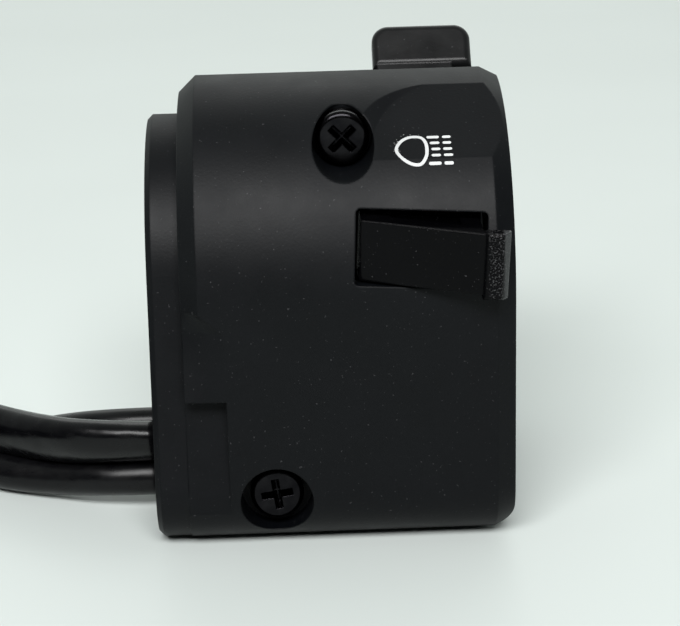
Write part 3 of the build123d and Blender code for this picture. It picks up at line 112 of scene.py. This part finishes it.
COIL_STEP = 3.6
COIL_OUTER = 41.0
COIL_INNER = 20.0
COIL_HALF_TURNS = 3
HALF_TURN = 6
QUARTER_TURN = 3
MAIN_RADIUS = 3.3
SECOND_RADIUS = 3.0
MAIN_ROUTE = [
    (-26.7, -11.0, -25.9),
    (-35.0, -11.0, -25.9),
    (-44.0, -6.2, -27.0),
    (-53.0, 0.9, -27.9),
    (-62.5, 7.2, -27.6),
    (-73.0, 15.8, -27.2),
    (-85.0, 23.6, -27.15),
    (-96.0, 27.5, -27.15),
    (-107.0, 27.5, -27.15),
]
SECOND_ROUTE = [
    (-26.7, -9.5, -32.4),
    (-34.0, -9.5, -32.4),
    (-43.0, -5.0, -33.9),
    (-53.0, -1.2, -34.2),
    (-62.5, 6.6, -34.0),
    (-73.0, 15.5, -33.6),
    (-85.0, 23.5, -33.5),
    (-96.0, 27.5, -33.5),
    (-107.6, 27.5, -33.5),
]
CLUTCH_ROUTE = [
    (-26.7, -4.3, -25.3),
    (-35.0, -4.3, -25.3),
    (-45.0, 2.0, -28.5),
    (-54.0, 8.6, -33.0),
    (-62.5, 16.5, -34.8),
    (-71.0, 26.0, -35.05),
    (-79.5, 33.2, -35.05),
    (-87.5, 36.6, -35.05),
    (-95.5, 36.6, -35.05),
]

# Sleeves, in metres
CURVE_STEPS = 10
SECTION_POINTS = 28
FLAT_LENGTH = 0.05
SETTLE_LENGTH = 0.04
TWIST_LENGTH = 0.07
LUMP_COUNT = 3
LUMP_TURN = 60


def coil_points(start, radius):
    """Control points of a flat coil that winds inward, twelve to a turn."""
    at = Vector(start) - Vector((2 * radius, 0, 0))
    heading = pi
    part = pi / HALF_TURN
    arcs = [(COIL_OUTER - n * COIL_STEP, HALF_TURN) for n in range(COIL_HALF_TURNS)]
    arcs.append((COIL_OUTER - COIL_HALF_TURNS * COIL_STEP, QUARTER_TURN))
    arcs.append((COIL_INNER, QUARTER_TURN))
    points = []
    for bend, count in arcs:
        side = heading + pi / 2
        centre = at + bend * Vector((cos(side), sin(side), 0))
        for n in range(count):
            side = heading + (n + 0.5) * part + pi / 2
            points.append(centre - bend / cos(part / 2) * Vector((cos(side), sin(side), 0)))
        heading += count * part
        side = heading + pi / 2
        at = centre - bend * Vector((cos(side), sin(side), 0))
    points.append(at + 2 * radius * Vector((cos(heading), sin(heading), 0)))
    return points


def smooth_path(name, points):
    """The centreline that a NURBS spline with these control points gives."""
    curve = bpy.data.curves.new(name, "CURVE")
    curve.dimensions = "3D"
    curve.resolution_u = CURVE_STEPS
    spline = curve.splines.new("NURBS")
    spline.points.add(len(points) - 1)
    for point, place in zip(spline.points, points):
        point.co = (place[0] * MM, place[1] * MM, place[2] * MM, 1)
    spline.order_u = 3
    spline.use_endpoint_u = True
    holder = put(name, curve)
    mesh = bpy.data.meshes.new_from_object(holder)
    path = [v.co.copy() for v in mesh.vertices]
    bpy.data.objects.remove(holder)
    bpy.data.meshes.remove(mesh)
    return path


def sleeve(name, path, wide, thick, settled, start_turn, turn_per_metre, lumps):
    """A cable sleeve whose oval section turns slowly, then settles to a round one."""
    last = len(path) - 1
    side = (path[1] - path[0]).normalized().cross(Vector((0, 0, 1))).normalized()
    verts = []
    run = 0.0
    for i, place in enumerate(path):
        along = (path[min(i + 1, last)] - path[max(i - 1, 0)]).normalized()
        if i:
            run += (place - path[i - 1]).length
        side = (side - along * side.dot(along)).normalized()
        other = along.cross(side)
        settle = min(max((run - FLAT_LENGTH) / SETTLE_LENGTH, 0.0), 1.0)
        settle = settle * settle * (3 - 2 * settle)
        broad = wide + (settled - wide) * settle
        narrow = thick + (settled - thick) * settle
        angle = start_turn + turn_per_metre * min(run, TWIST_LENGTH)
        for n in range(SECTION_POINTS):
            theta = 2 * pi * n / SECTION_POINTS
            bulge = 1 + lumps * sin(LUMP_COUNT * theta + LUMP_TURN * run) * (1 - settle)
            x = broad / 2 * cos(theta) * bulge
            y = narrow / 2 * sin(theta) * bulge
            u = x * cos(angle) - y * sin(angle)
            v = x * sin(angle) + y * cos(angle)
            verts.append(place + side * u + other * v)
    faces = []
    for i in range(last):
        join_loops(faces, i * SECTION_POINTS, (i + 1) * SECTION_POINTS, SECTION_POINTS)
    faces.append(tuple(reversed(range(SECTION_POINTS))))
    faces.append(tuple(range(last * SECTION_POINTS, len(path) * SECTION_POINTS)))
    made = put_mesh(name, verts, faces)
    made.data.shade_smooth()
    return made


main_path = smooth_path(
    "main_path", MAIN_ROUTE + coil_points(MAIN_ROUTE[-1], MAIN_RADIUS)
)
second_path = smooth_path(
    "second_path", SECOND_ROUTE + coil_points(SECOND_ROUTE[-1], SECOND_RADIUS)
)
clutch_path = smooth_path("clutch_path", CLUTCH_ROUTE)

main_sleeve = sleeve(
    "main_sleeve", main_path, wide=0.0086, thick=0.0058, settled=0.0066,
    start_turn=radians(40), turn_per_metre=26.0, lumps=0.012,
)
second_sleeve = sleeve(
    "second_sleeve", second_path, wide=0.0061, thick=0.0059, settled=0.0060,
    start_turn=0.3, turn_per_metre=8.0, lumps=0.006,
)
clutch_sleeve = sleeve(
    "clutch_sleeve", clutch_path, wide=0.00455, thick=0.0044, settled=0.0045,
    start_turn=0.0, turn_per_metre=8.0, lumps=0.0,
)

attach(main_sleeve, "housing")
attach(second_sleeve, "housing")
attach(clutch_sleeve, "housing")
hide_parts("main_lead", "main_coil")
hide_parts("second_lead", "second_coil")
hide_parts("clutch_lead")


# Printed marks: closed slivers of ink that follow the surface under them.
# Outlines run anticlockwise as seen from outside, in millimetres.

BROW_PLACE = Vector((0, -13.965, 23.848))
BROW_UP = Vector((0, 0.8630, 0.5053))
BROW_OUT = Vector((0, -0.5053, 0.8630))
FRONT_RADIUS = 28.7
BROW_HALF = 7.742
REAR_Y = 25.0
INK = 0.03
END_STEPS = 8
LOOP_STEPS = 8


def on_brow(u, v, lift):
    """A point of the brow, which turns into the round shell below its flat."""
    fall = 0.0
    if abs(v) > BROW_HALF:
        fall = sqrt(FRONT_RADIUS ** 2 - v * v) - sqrt(FRONT_RADIUS ** 2 - BROW_HALF ** 2)
    place = BROW_PLACE + u * Vector((1, 0, 0)) + v * BROW_UP
    return (place + (fall + lift) * BROW_OUT) * MM


def on_rear(u, v, lift):
    """A point of the flat rear, with u to the right as seen from behind."""
    return Vector((-u, REAR_Y + lift, v)) * MM


def smooth_loop(points):
    """A closed Catmull-Rom curve through a few points."""
    count = len(points)
    loop = []
    for i in range(count):
        a, b, c, d = (Vector(points[(i + k - 1) % count]) for k in range(4))
        for n in range(LOOP_STEPS):
            t = n / LOOP_STEPS
            loop.append(0.5 * (
                2 * b + (c - a) * t + (2 * a - 5 * b + 4 * c - d) * t * t
                + (3 * b - a - 3 * c + d) * t ** 3
            ))
    return loop


def ring_round(points, half):
    """Loops a little outside and inside a closed curve."""
    loop = smooth_loop(points)
    outer = []
    inner = []
    for i, point in enumerate(loop):
        along = (loop[(i + 1) % len(loop)] - loop[i - 1]).normalized()
        side = Vector((along.y, -along.x))
        outer.append(point + half * side)
        inner.append(point - half * side)
    return outer, inner


def bar(start, end, half):
    """Outline of a stroke with rounded ends."""
    start = Vector(start)
    end = Vector(end)
    along = (end - start).normalized()
    side = Vector((-along.y, along.x))
    outline = []
    for centre, first in ((start, pi / 2), (end, -pi / 2)):
        for n in range(END_STEPS + 1):
            turn = first + pi * n / END_STEPS
            outline.append(centre + half * (cos(turn) * along + sin(turn) * side))
    return outline


def ink_mark(name, surface, filled, rings=()):
    """One mesh of filled outlines and of rings, each a pair of outer and inner loops."""
    verts = []
    faces = []
    for outline in filled:
        count = len(outline)
        first = len(verts)
        verts.extend(surface(p[0], p[1], INK) for p in outline)
        verts.extend(surface(p[0], p[1], -INK) for p in outline)
        faces.append(tuple(range(first, first + count)))
        faces.append(tuple(reversed(range(first + count, first + 2 * count))))
        join_loops(faces, first + count, first, count)
    for outer, inner in rings:
        count = len(outer)
        first = len(verts)
        loops = ((outer, INK), (inner, INK), (inner, -INK), (outer, -INK))
        for loop, lift in loops:
            verts.extend(surface(p[0], p[1], lift) for p in loop)
        for k in range(len(loops)):
            high = (k + 1) % len(loops)
            join_loops(faces, first + k * count, first + high * count, count)
    made = put_mesh(name, verts, faces)
    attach(made, "housing")
    return made


# Low-beam sign: the lamp's outline, five split beams and some overspray
LAMP = [
    (10.85, -7.58), (12.19, -8.58), (13.5, -8.65), (14.3, -7.5), (14.52, -5.85),
    (14.34, -4.41), (13.68, -3.5), (12.18, -3.41), (10.85, -4.26), (10.12, -5.89),
]
LAMP_HALF_STROKE = 0.24
BEAMS = [
    (-3.5, 14.85, 16.15, 17.1, 17.85),
    (-4.69, 15.25, 16.15, 17.1, 17.85),
    (-5.94, 15.4, 16.2, 17.1, 17.9),
    (-7.2, 15.35, 16.2, 17.1, 17.95),
    (-8.6, 14.9, 16.2, 17.1, 17.95),
]
BEAM_HALF_STROKE = 0.25
SPECK_COUNT = 34
SPECK_SIDES = 8
SPECK_MIDDLE = (12.3, -5.6)
SPECK_SPREAD = (2.6, 3.1)

beams = []
for v, a, b, c, d in BEAMS:
    beams.append(bar((a, v), (b, v), BEAM_HALF_STROKE))
    beams.append(bar((c, v), (d, v), BEAM_HALF_STROKE))
chance = Random(7)
for _ in range(SPECK_COUNT):
    turn = chance.uniform(0.3, 1.2) * pi
    reach = chance.uniform(0.4, 1.0) ** 0.5
    u = SPECK_MIDDLE[0] + SPECK_SPREAD[0] * reach * cos(turn)
    v = SPECK_MIDDLE[1] + SPECK_SPREAD[1] * reach * sin(turn)
    size = chance.uniform(0.025, 0.055)
    corners = (2 * pi * k / SPECK_SIDES for k in range(SPECK_SIDES))
    beams.append([Vector((u + size * cos(k), v + size * sin(k))) for k in corners])
low_beam = ink_mark("low_beam_print", on_brow, beams, [ring_round(LAMP, LAMP_HALF_STROKE)])

# Arrows under the turn-signal knob, from the tip round the head and the shaft
ARROW = [
    (0, 0), (2.0, 1.5), (2.0, 0.65), (4.2, 0.65), (4.2, -0.65), (2.0, -0.65), (2.0, -1.5),
]
ARROW_TIP_U = 6.4
ARROW_V = -11.2

right_arrow = [Vector((ARROW_TIP_U - x, ARROW_V + z)) for x, z in ARROW]
left_arrow = [Vector((x - ARROW_TIP_U, ARROW_V + z)) for x, z in reversed(ARROW)]
turn_print = ink_mark("turn_arrows_print", on_rear, [left_arrow, right_arrow])

# Horn sign: the horn's bell and three strokes of sound
BELL = [(8.6, -19.6), (7.2, -19.6), (4.6, -18.2), (4.6, -22.8), (7.2, -21.4), (8.6, -21.4)]
SOUND_V = (-19.1, -20.5, -21.9)
SOUND_U = (2.4, 3.6)
SOUND_HALF_STROKE = 0.22

horn_marks = [[Vector(place) for place in BELL]]
for v in SOUND_V:
    horn_marks.append(bar((SOUND_U[0], v), (SOUND_U[1], v), SOUND_HALF_STROKE))
horn_print = ink_mark("horn_print", on_rear, horn_marks)


# Materials: noise scales in cycles per metre, edge radii and bump depths in metres

def start_material(name):
    made = bpy.data.materials.new(name)
    made.use_nodes = True
    tree = made.node_tree
    return made, tree, tree.nodes["Principled BSDF"]


def noise(tree, scale, detail, rough, stretch=None):
    """A noise texture in real metres, stretched where asked."""
    place = tree.nodes.new("ShaderNodeTexCoord")
    made = tree.nodes.new("ShaderNodeTexNoise")
    made.inputs["Scale"].default_value = scale
    made.inputs["Detail"].default_value = detail
    made.inputs["Roughness"].default_value = rough
    source = place.outputs["Object"]
    if stretch is not None:
        mapping = tree.nodes.new("ShaderNodeMapping")
        mapping.inputs["Scale"].default_value = stretch
        tree.links.new(source, mapping.inputs["Vector"])
        source = mapping.outputs["Vector"]
    tree.links.new(source, made.inputs["Vector"])
    return made.outputs["Fac"]


def coordinate(tree, kind, axis):
    """One coordinate of the place, or of the direction in the world's tree."""
    place = tree.nodes.new("ShaderNodeTexCoord")
    split = tree.nodes.new("ShaderNodeSeparateXYZ")
    tree.links.new(place.outputs[kind], split.inputs["Vector"])
    return split.outputs[axis]


def spread(tree, value, low, high, new_low=0.0, new_high=1.0):
    """Maps a value from one range to another, held inside it."""
    made = tree.nodes.new("ShaderNodeMapRange")
    made.inputs["From Min"].default_value = low
    made.inputs["From Max"].default_value = high
    made.inputs["To Min"].default_value = new_low
    made.inputs["To Max"].default_value = new_high
    tree.links.new(value, made.inputs["Value"])
    return made.outputs["Result"]


def blend_colours(tree, value, first, second):
    made = tree.nodes.new("ShaderNodeMix")
    made.data_type = "RGBA"
    made.inputs["A"].default_value = (*first, 1)
    made.inputs["B"].default_value = (*second, 1)
    tree.links.new(value, made.inputs["Factor"])
    return made.outputs["Result"]


def lay_over(tree, share, source, colour):
    """One fixed colour over another colour's output, by a share."""
    made = tree.nodes.new("ShaderNodeMix")
    made.data_type = "RGBA"
    made.inputs["B"].default_value = (*colour, 1)
    tree.links.new(share, made.inputs["Factor"])
    tree.links.new(source, made.inputs["A"])
    return made.outputs["Result"]


def relief(tree, shader, heights, round_edge=0.0):
    """Chains bump textures into the shader's normal, on rounded edges where asked."""
    normal = None
    if round_edge:
        edge = tree.nodes.new("ShaderNodeBevel")
        edge.samples = 6
        edge.inputs["Radius"].default_value = round_edge
        normal = edge.outputs["Normal"]
    for value, strength, depth in heights:
        made = tree.nodes.new("ShaderNodeBump")
        made.inputs["Strength"].default_value = strength
        made.inputs["Distance"].default_value = depth
        tree.links.new(value, made.inputs["Height"])
        if normal is not None:
            tree.links.new(normal, made.inputs["Normal"])
        normal = made.outputs["Normal"]
    tree.links.new(normal, shader.inputs["Normal"])


DUST_COLOUR = (0.16, 0.16, 0.165)
DUST_SHARE = 0.22


def moulded(name, dark, light, rough, grain, grain_depth, edge, specular=0.5):
    """Moulded plastic: fine grain, soft patches of sheen and a little dust."""
    made, tree, shader = start_material(name)
    patches = noise(tree, 90.0, 4.0, 0.6)
    specks = noise(tree, 2600.0, 1.0, 0.5)
    fine = noise(tree, grain, 2.0, 0.6)
    slow = noise(tree, 35.0, 1.0, 0.5)
    colour = blend_colours(tree, spread(tree, patches, 0.35, 0.72), dark, light)
    dust = spread(tree, specks, 0.73, 0.80, 0.0, DUST_SHARE)
    colour = lay_over(tree, dust, colour, DUST_COLOUR)
    tree.links.new(colour, shader.inputs["Base Color"])
    sheen = spread(tree, patches, 0.3, 0.7, *rough)
    tree.links.new(sheen, shader.inputs["Roughness"])
    shader.inputs["Specular IOR Level"].default_value = specular
    relief(tree, shader, [(slow, 0.05, 0.0004), (fine, 0.35, grain_depth)], edge)
    return made


def metal(name, dark, light, rough, edge=0.00012):
    """Plated or drawn metal with fine streaks."""
    made, tree, shader = start_material(name)
    streaks = noise(tree, 900.0, 3.0, 0.6)
    patches = noise(tree, 260.0, 3.0, 0.6)
    colour = blend_colours(tree, spread(tree, patches, 0.35, 0.7), dark, light)
    tree.links.new(colour, shader.inputs["Base Color"])
    shader.inputs["Metallic"].default_value = 1.0
    sheen = spread(tree, streaks, 0.3, 0.7, *rough)
    tree.links.new(sheen, shader.inputs["Roughness"])
    relief(tree, shader, [(streaks, 0.2, 0.00002)], edge)
    return made


VINYL_SPECULAR = 0.22
VINYL_STRETCH = (0.35, 1, 1)


def vinyl(name, dark, light, rough, wrinkle):
    """Soft cable sleeve: glossy, with slow waves and fine scuffs along it."""
    made, tree, shader = start_material(name)
    scuffs = noise(tree, 700.0, 3.0, 0.65, VINYL_STRETCH)
    waves = noise(tree, 120.0, 2.0, 0.5)
    colour = blend_colours(tree, spread(tree, scuffs, 0.45, 0.75), dark, light)
    tree.links.new(colour, shader.inputs["Base Color"])
    sheen = spread(tree, scuffs, 0.35, 0.7, *rough)
    tree.links.new(sheen, shader.inputs["Roughness"])
    shader.inputs["Specular IOR Level"].default_value = VINYL_SPECULAR
    relief(tree, shader, [(waves, wrinkle, 0.0008), (scuffs, 0.15, 0.00004)])
    return made


# Where the trigger's finger tip and its lip begin and are full, along X in metres. The
# tip's grains are partly a painted reflection, and the lip's paler colour is a painted
# reflection.
TIP_FROM = 0.0219
TIP_FULL = 0.0223
LIP_REFLECTION_FROM = 0.02415
LIP_REFLECTION_FULL = 0.02445
# Pale grain colour: the gate mark's rough texture, with its paleness partly a painted
# reflection
GRAIN_AND_REFLECTION_COLOUR = (0.07, 0.07, 0.072)
# Paler lip colour: a painted reflection of the lit room on the trigger's curved end
LIP_REFLECTION_COLOUR = (0.075, 0.078, 0.08)


def tip_grains_and_lip_reflection(made):
    """Bright grains on the trigger's finger tip, partly a painted reflection, and a paler
    lip at its end, which is a painted reflection.
    """
    tree = made.node_tree
    shader = tree.nodes["Principled BSDF"]
    colour = shader.inputs["Base Color"].links[0].from_socket
    across = coordinate(tree, "Object", "X")
    tip = spread(tree, across, TIP_FROM, TIP_FULL)
    # painted reflection: the lip grows paler towards the trigger's end
    lip_reflection = spread(tree, across, LIP_REFLECTION_FROM, LIP_REFLECTION_FULL, 0.0, 0.55)
    # grains on the tip: real gate-mark texture, with their pale tone partly a painted
    # reflection
    grains_and_reflection = spread(tree, noise(tree, 3600.0, 2.0, 0.6), 0.54, 0.66, 0.0, 0.8)
    grain_and_reflection_share = tree.nodes.new("ShaderNodeMath")
    grain_and_reflection_share.operation = "MULTIPLY"
    tree.links.new(tip, grain_and_reflection_share.inputs[0])
    tree.links.new(grains_and_reflection, grain_and_reflection_share.inputs[1])
    colour = lay_over(tree, grain_and_reflection_share.outputs[0], colour, GRAIN_AND_REFLECTION_COLOUR)
    colour = lay_over(tree, lip_reflection, colour, LIP_REFLECTION_COLOUR)
    tree.links.new(colour, shader.inputs["Base Color"])


housing_black = moulded(
    "housing_black", dark=(0.0006, 0.0010, 0.0017), light=(0.0014, 0.0019, 0.0028),
    rough=(0.45, 0.54), grain=2300.0, grain_depth=0.00005, edge=0.0004, specular=0.16,
)
lever_black = moulded(
    "trigger_black", dark=(0.0008, 0.0008, 0.0011), light=(0.0014, 0.0014, 0.0018),
    rough=(0.1, 0.2), grain=2100.0, grain_depth=0.00001, edge=0.0005, specular=0.07,
)
tip_grains_and_lip_reflection(lever_black)
button_black = moulded(
    "button_black", dark=(0.005, 0.0052, 0.0054), light=(0.008, 0.0082, 0.0085),
    rough=(0.24, 0.36), grain=2100.0, grain_depth=0.00002, edge=0.0003, specular=0.2,
)
inner_plastic = moulded(
    "inner_plastic", dark=(0.05, 0.05, 0.052), light=(0.075, 0.075, 0.078),
    rough=(0.45, 0.6), grain=1800.0, grain_depth=0.00003, edge=0.0002,
)
tie_nylon = moulded(
    "tie_nylon", dark=(0.012, 0.012, 0.0125), light=(0.02, 0.02, 0.021),
    rough=(0.4, 0.55), grain=1800.0, grain_depth=0.00003, edge=0.0002,
)
natural_nylon = moulded(
    "connector_nylon", dark=(0.66, 0.65, 0.60), light=(0.74, 0.73, 0.69),
    rough=(0.38, 0.5), grain=1500.0, grain_depth=0.00003, edge=0.0003,
)
grommet_rubber = moulded(
    "grommet_rubber", dark=(0.006, 0.006, 0.006), light=(0.01, 0.01, 0.01),
    rough=(0.6, 0.75), grain=1500.0, grain_depth=0.00005, edge=0.0003,
)
white_ink = moulded(
    "white_ink", dark=(0.50, 0.51, 0.51), light=(0.62, 0.63, 0.63),
    rough=(0.45, 0.6), grain=2600.0, grain_depth=0.00001, edge=0.0,
)
screw_black = metal(
    "screw_black", dark=(0.008, 0.0078, 0.009), light=(0.018, 0.0175, 0.019),
    rough=(0.14, 0.24), edge=0.0003,
)
brass = metal("brass", dark=(0.62, 0.45, 0.2), light=(0.74, 0.56, 0.28), rough=(0.3, 0.45))
contact_metal = metal(
    "contact_metal", dark=(0.66, 0.5, 0.26), light=(0.78, 0.62, 0.36), rough=(0.25, 0.4)
)
small_steel = metal(
    "small_steel", dark=(0.5, 0.5, 0.52), light=(0.65, 0.65, 0.67), rough=(0.25, 0.4)
)
spring_steel = metal(
    "spring_steel", dark=(0.45, 0.45, 0.47), light=(0.6, 0.6, 0.62), rough=(0.22, 0.36)
)
main_vinyl = vinyl(
    "main_vinyl", dark=(0.0015, 0.0015, 0.002), light=(0.003, 0.003, 0.0035),
    rough=(0.2, 0.3), wrinkle=0.6,
)
second_vinyl = vinyl(
    "second_vinyl", dark=(0.002, 0.002, 0.0025), light=(0.004, 0.004, 0.0045),
    rough=(0.26, 0.36), wrinkle=0.35,
)
lead_vinyl = vinyl(
    "lead_vinyl", dark=(0.006, 0.006, 0.0065), light=(0.012, 0.012, 0.013),
    rough=(0.35, 0.45), wrinkle=0.2,
)

BY_SLOT = {
    "housing_black": housing_black,
    "screw_black": screw_black,
    "brass": brass,
    "contact_metal": contact_metal,
    "trigger_black": lever_black,
    "button_black": button_black,
    "horn_black": button_black,
    "inner_plastic": inner_plastic,
    "small_steel": small_steel,
    "spring_steel": spring_steel,
    "grommet_rubber": grommet_rubber,
    "lead_black": lead_vinyl,
    "main_sleeve": main_vinyl,
    "second_sleeve": second_vinyl,
    "clutch_sleeve": second_vinyl,
    "connector_nylon": natural_nylon,
    "tie_nylon": tie_nylon,
}
for part in frame["record"]["subparts"]:
    node = nodes[part["node"]]
    finish = BY_SLOT[part["material_slot"]]
    if not node.material_slots:
        node.data.materials.append(finish)
    for place in node.material_slots:
        place.material = finish
main_sleeve.data.materials.append(main_vinyl)
second_sleeve.data.materials.append(second_vinyl)
clutch_sleeve.data.materials.append(second_vinyl)
for mark in (low_beam, turn_print, horn_print):
    mark.data.materials.append(white_ink)


# Stage and light

TABLE_HALF = 3.0
# The near table colours carry painted shade, with random tone between them; the far colour
# is painted light
TABLE_NEAR_SHADE_DARK = (0.565, 0.607, 0.588)
TABLE_NEAR_SHADE_LIGHT = (0.585, 0.629, 0.61)
TABLE_FAR_PAINTED_LIGHT = (0.81, 0.865, 0.84)
TABLE_PAINTED_LIGHT_Y = 1.1
TABLE_ROUGHNESS = 0.45
TABLE_SPECULAR = 0.2

ROOM_COLOUR = (0.93, 1.0, 0.96)
ROOM_FRONT = -0.5
ROOM_BACK = 0.9
ROOM_FRONT_STRENGTH = 0.03
ROOM_BACK_STRENGTH = 0.92


def lay_table():
    """A pale table with painted shade near the viewer and painted light that makes it a
    little lighter away from the viewer.
    """
    corners = [(-1, -1), (1, -1), (1, 1), (-1, 1)]
    verts = [(x * TABLE_HALF, y * TABLE_HALF, FLOOR_Z) for x, y in corners]
    table = put_mesh("table", verts, [(0, 1, 2, 3)])
    made, tree, shader = start_material("table_top")
    patches = noise(tree, 12.0, 2.0, 0.5)
    near_painted_shade = blend_colours(
        tree, spread(tree, patches, 0.3, 0.7), TABLE_NEAR_SHADE_DARK, TABLE_NEAR_SHADE_LIGHT
    )
    # painted light: the table's colour grows lighter away from the viewer
    painted_light_away = spread(tree, coordinate(tree, "Object", "Y"), 0.0, TABLE_PAINTED_LIGHT_Y)
    colour = lay_over(tree, painted_light_away, near_painted_shade, TABLE_FAR_PAINTED_LIGHT)
    tree.links.new(colour, shader.inputs["Base Color"])
    shader.inputs["Roughness"].default_value = TABLE_ROUGHNESS
    shader.inputs["Specular IOR Level"].default_value = TABLE_SPECULAR
    table.data.materials.append(made)


def soft_light(name, place, size, power):
    """An area lamp that faces the part."""
    data = bpy.data.lights.new(name, "AREA")
    data.shape = "RECTANGLE"
    data.size, data.size_y = size
    data.energy = power
    made = put(name, data)
    made.location = place
    made.rotation_euler = Vector(place).to_track_quat("Z", "Y").to_euler()


def light_up():
    """A room that is dim in front and bright behind, with two soft lamps."""
    world = bpy.data.worlds.new("room")
    world.use_nodes = True
    tree = world.node_tree
    ground = tree.nodes["Background"]
    ground.inputs["Color"].default_value = (*ROOM_COLOUR, 1)
    shade = spread(
        tree, coordinate(tree, "Generated", "Y"), ROOM_FRONT, ROOM_BACK,
        ROOM_FRONT_STRENGTH, ROOM_BACK_STRENGTH,
    )
    tree.links.new(shade, ground.inputs["Strength"])
    bpy.context.scene.world = world
    soft_light("front_high", place=(-0.12, -0.85, 0.86), size=(1.0, 0.45), power=23.0)
    soft_light("back_high", place=(0.1, 1.0, 0.8), size=(1.2, 0.5), power=2.5)


lay_table()
light_up()
bpy.context.scene.view_settings.view_transform = "Standard"
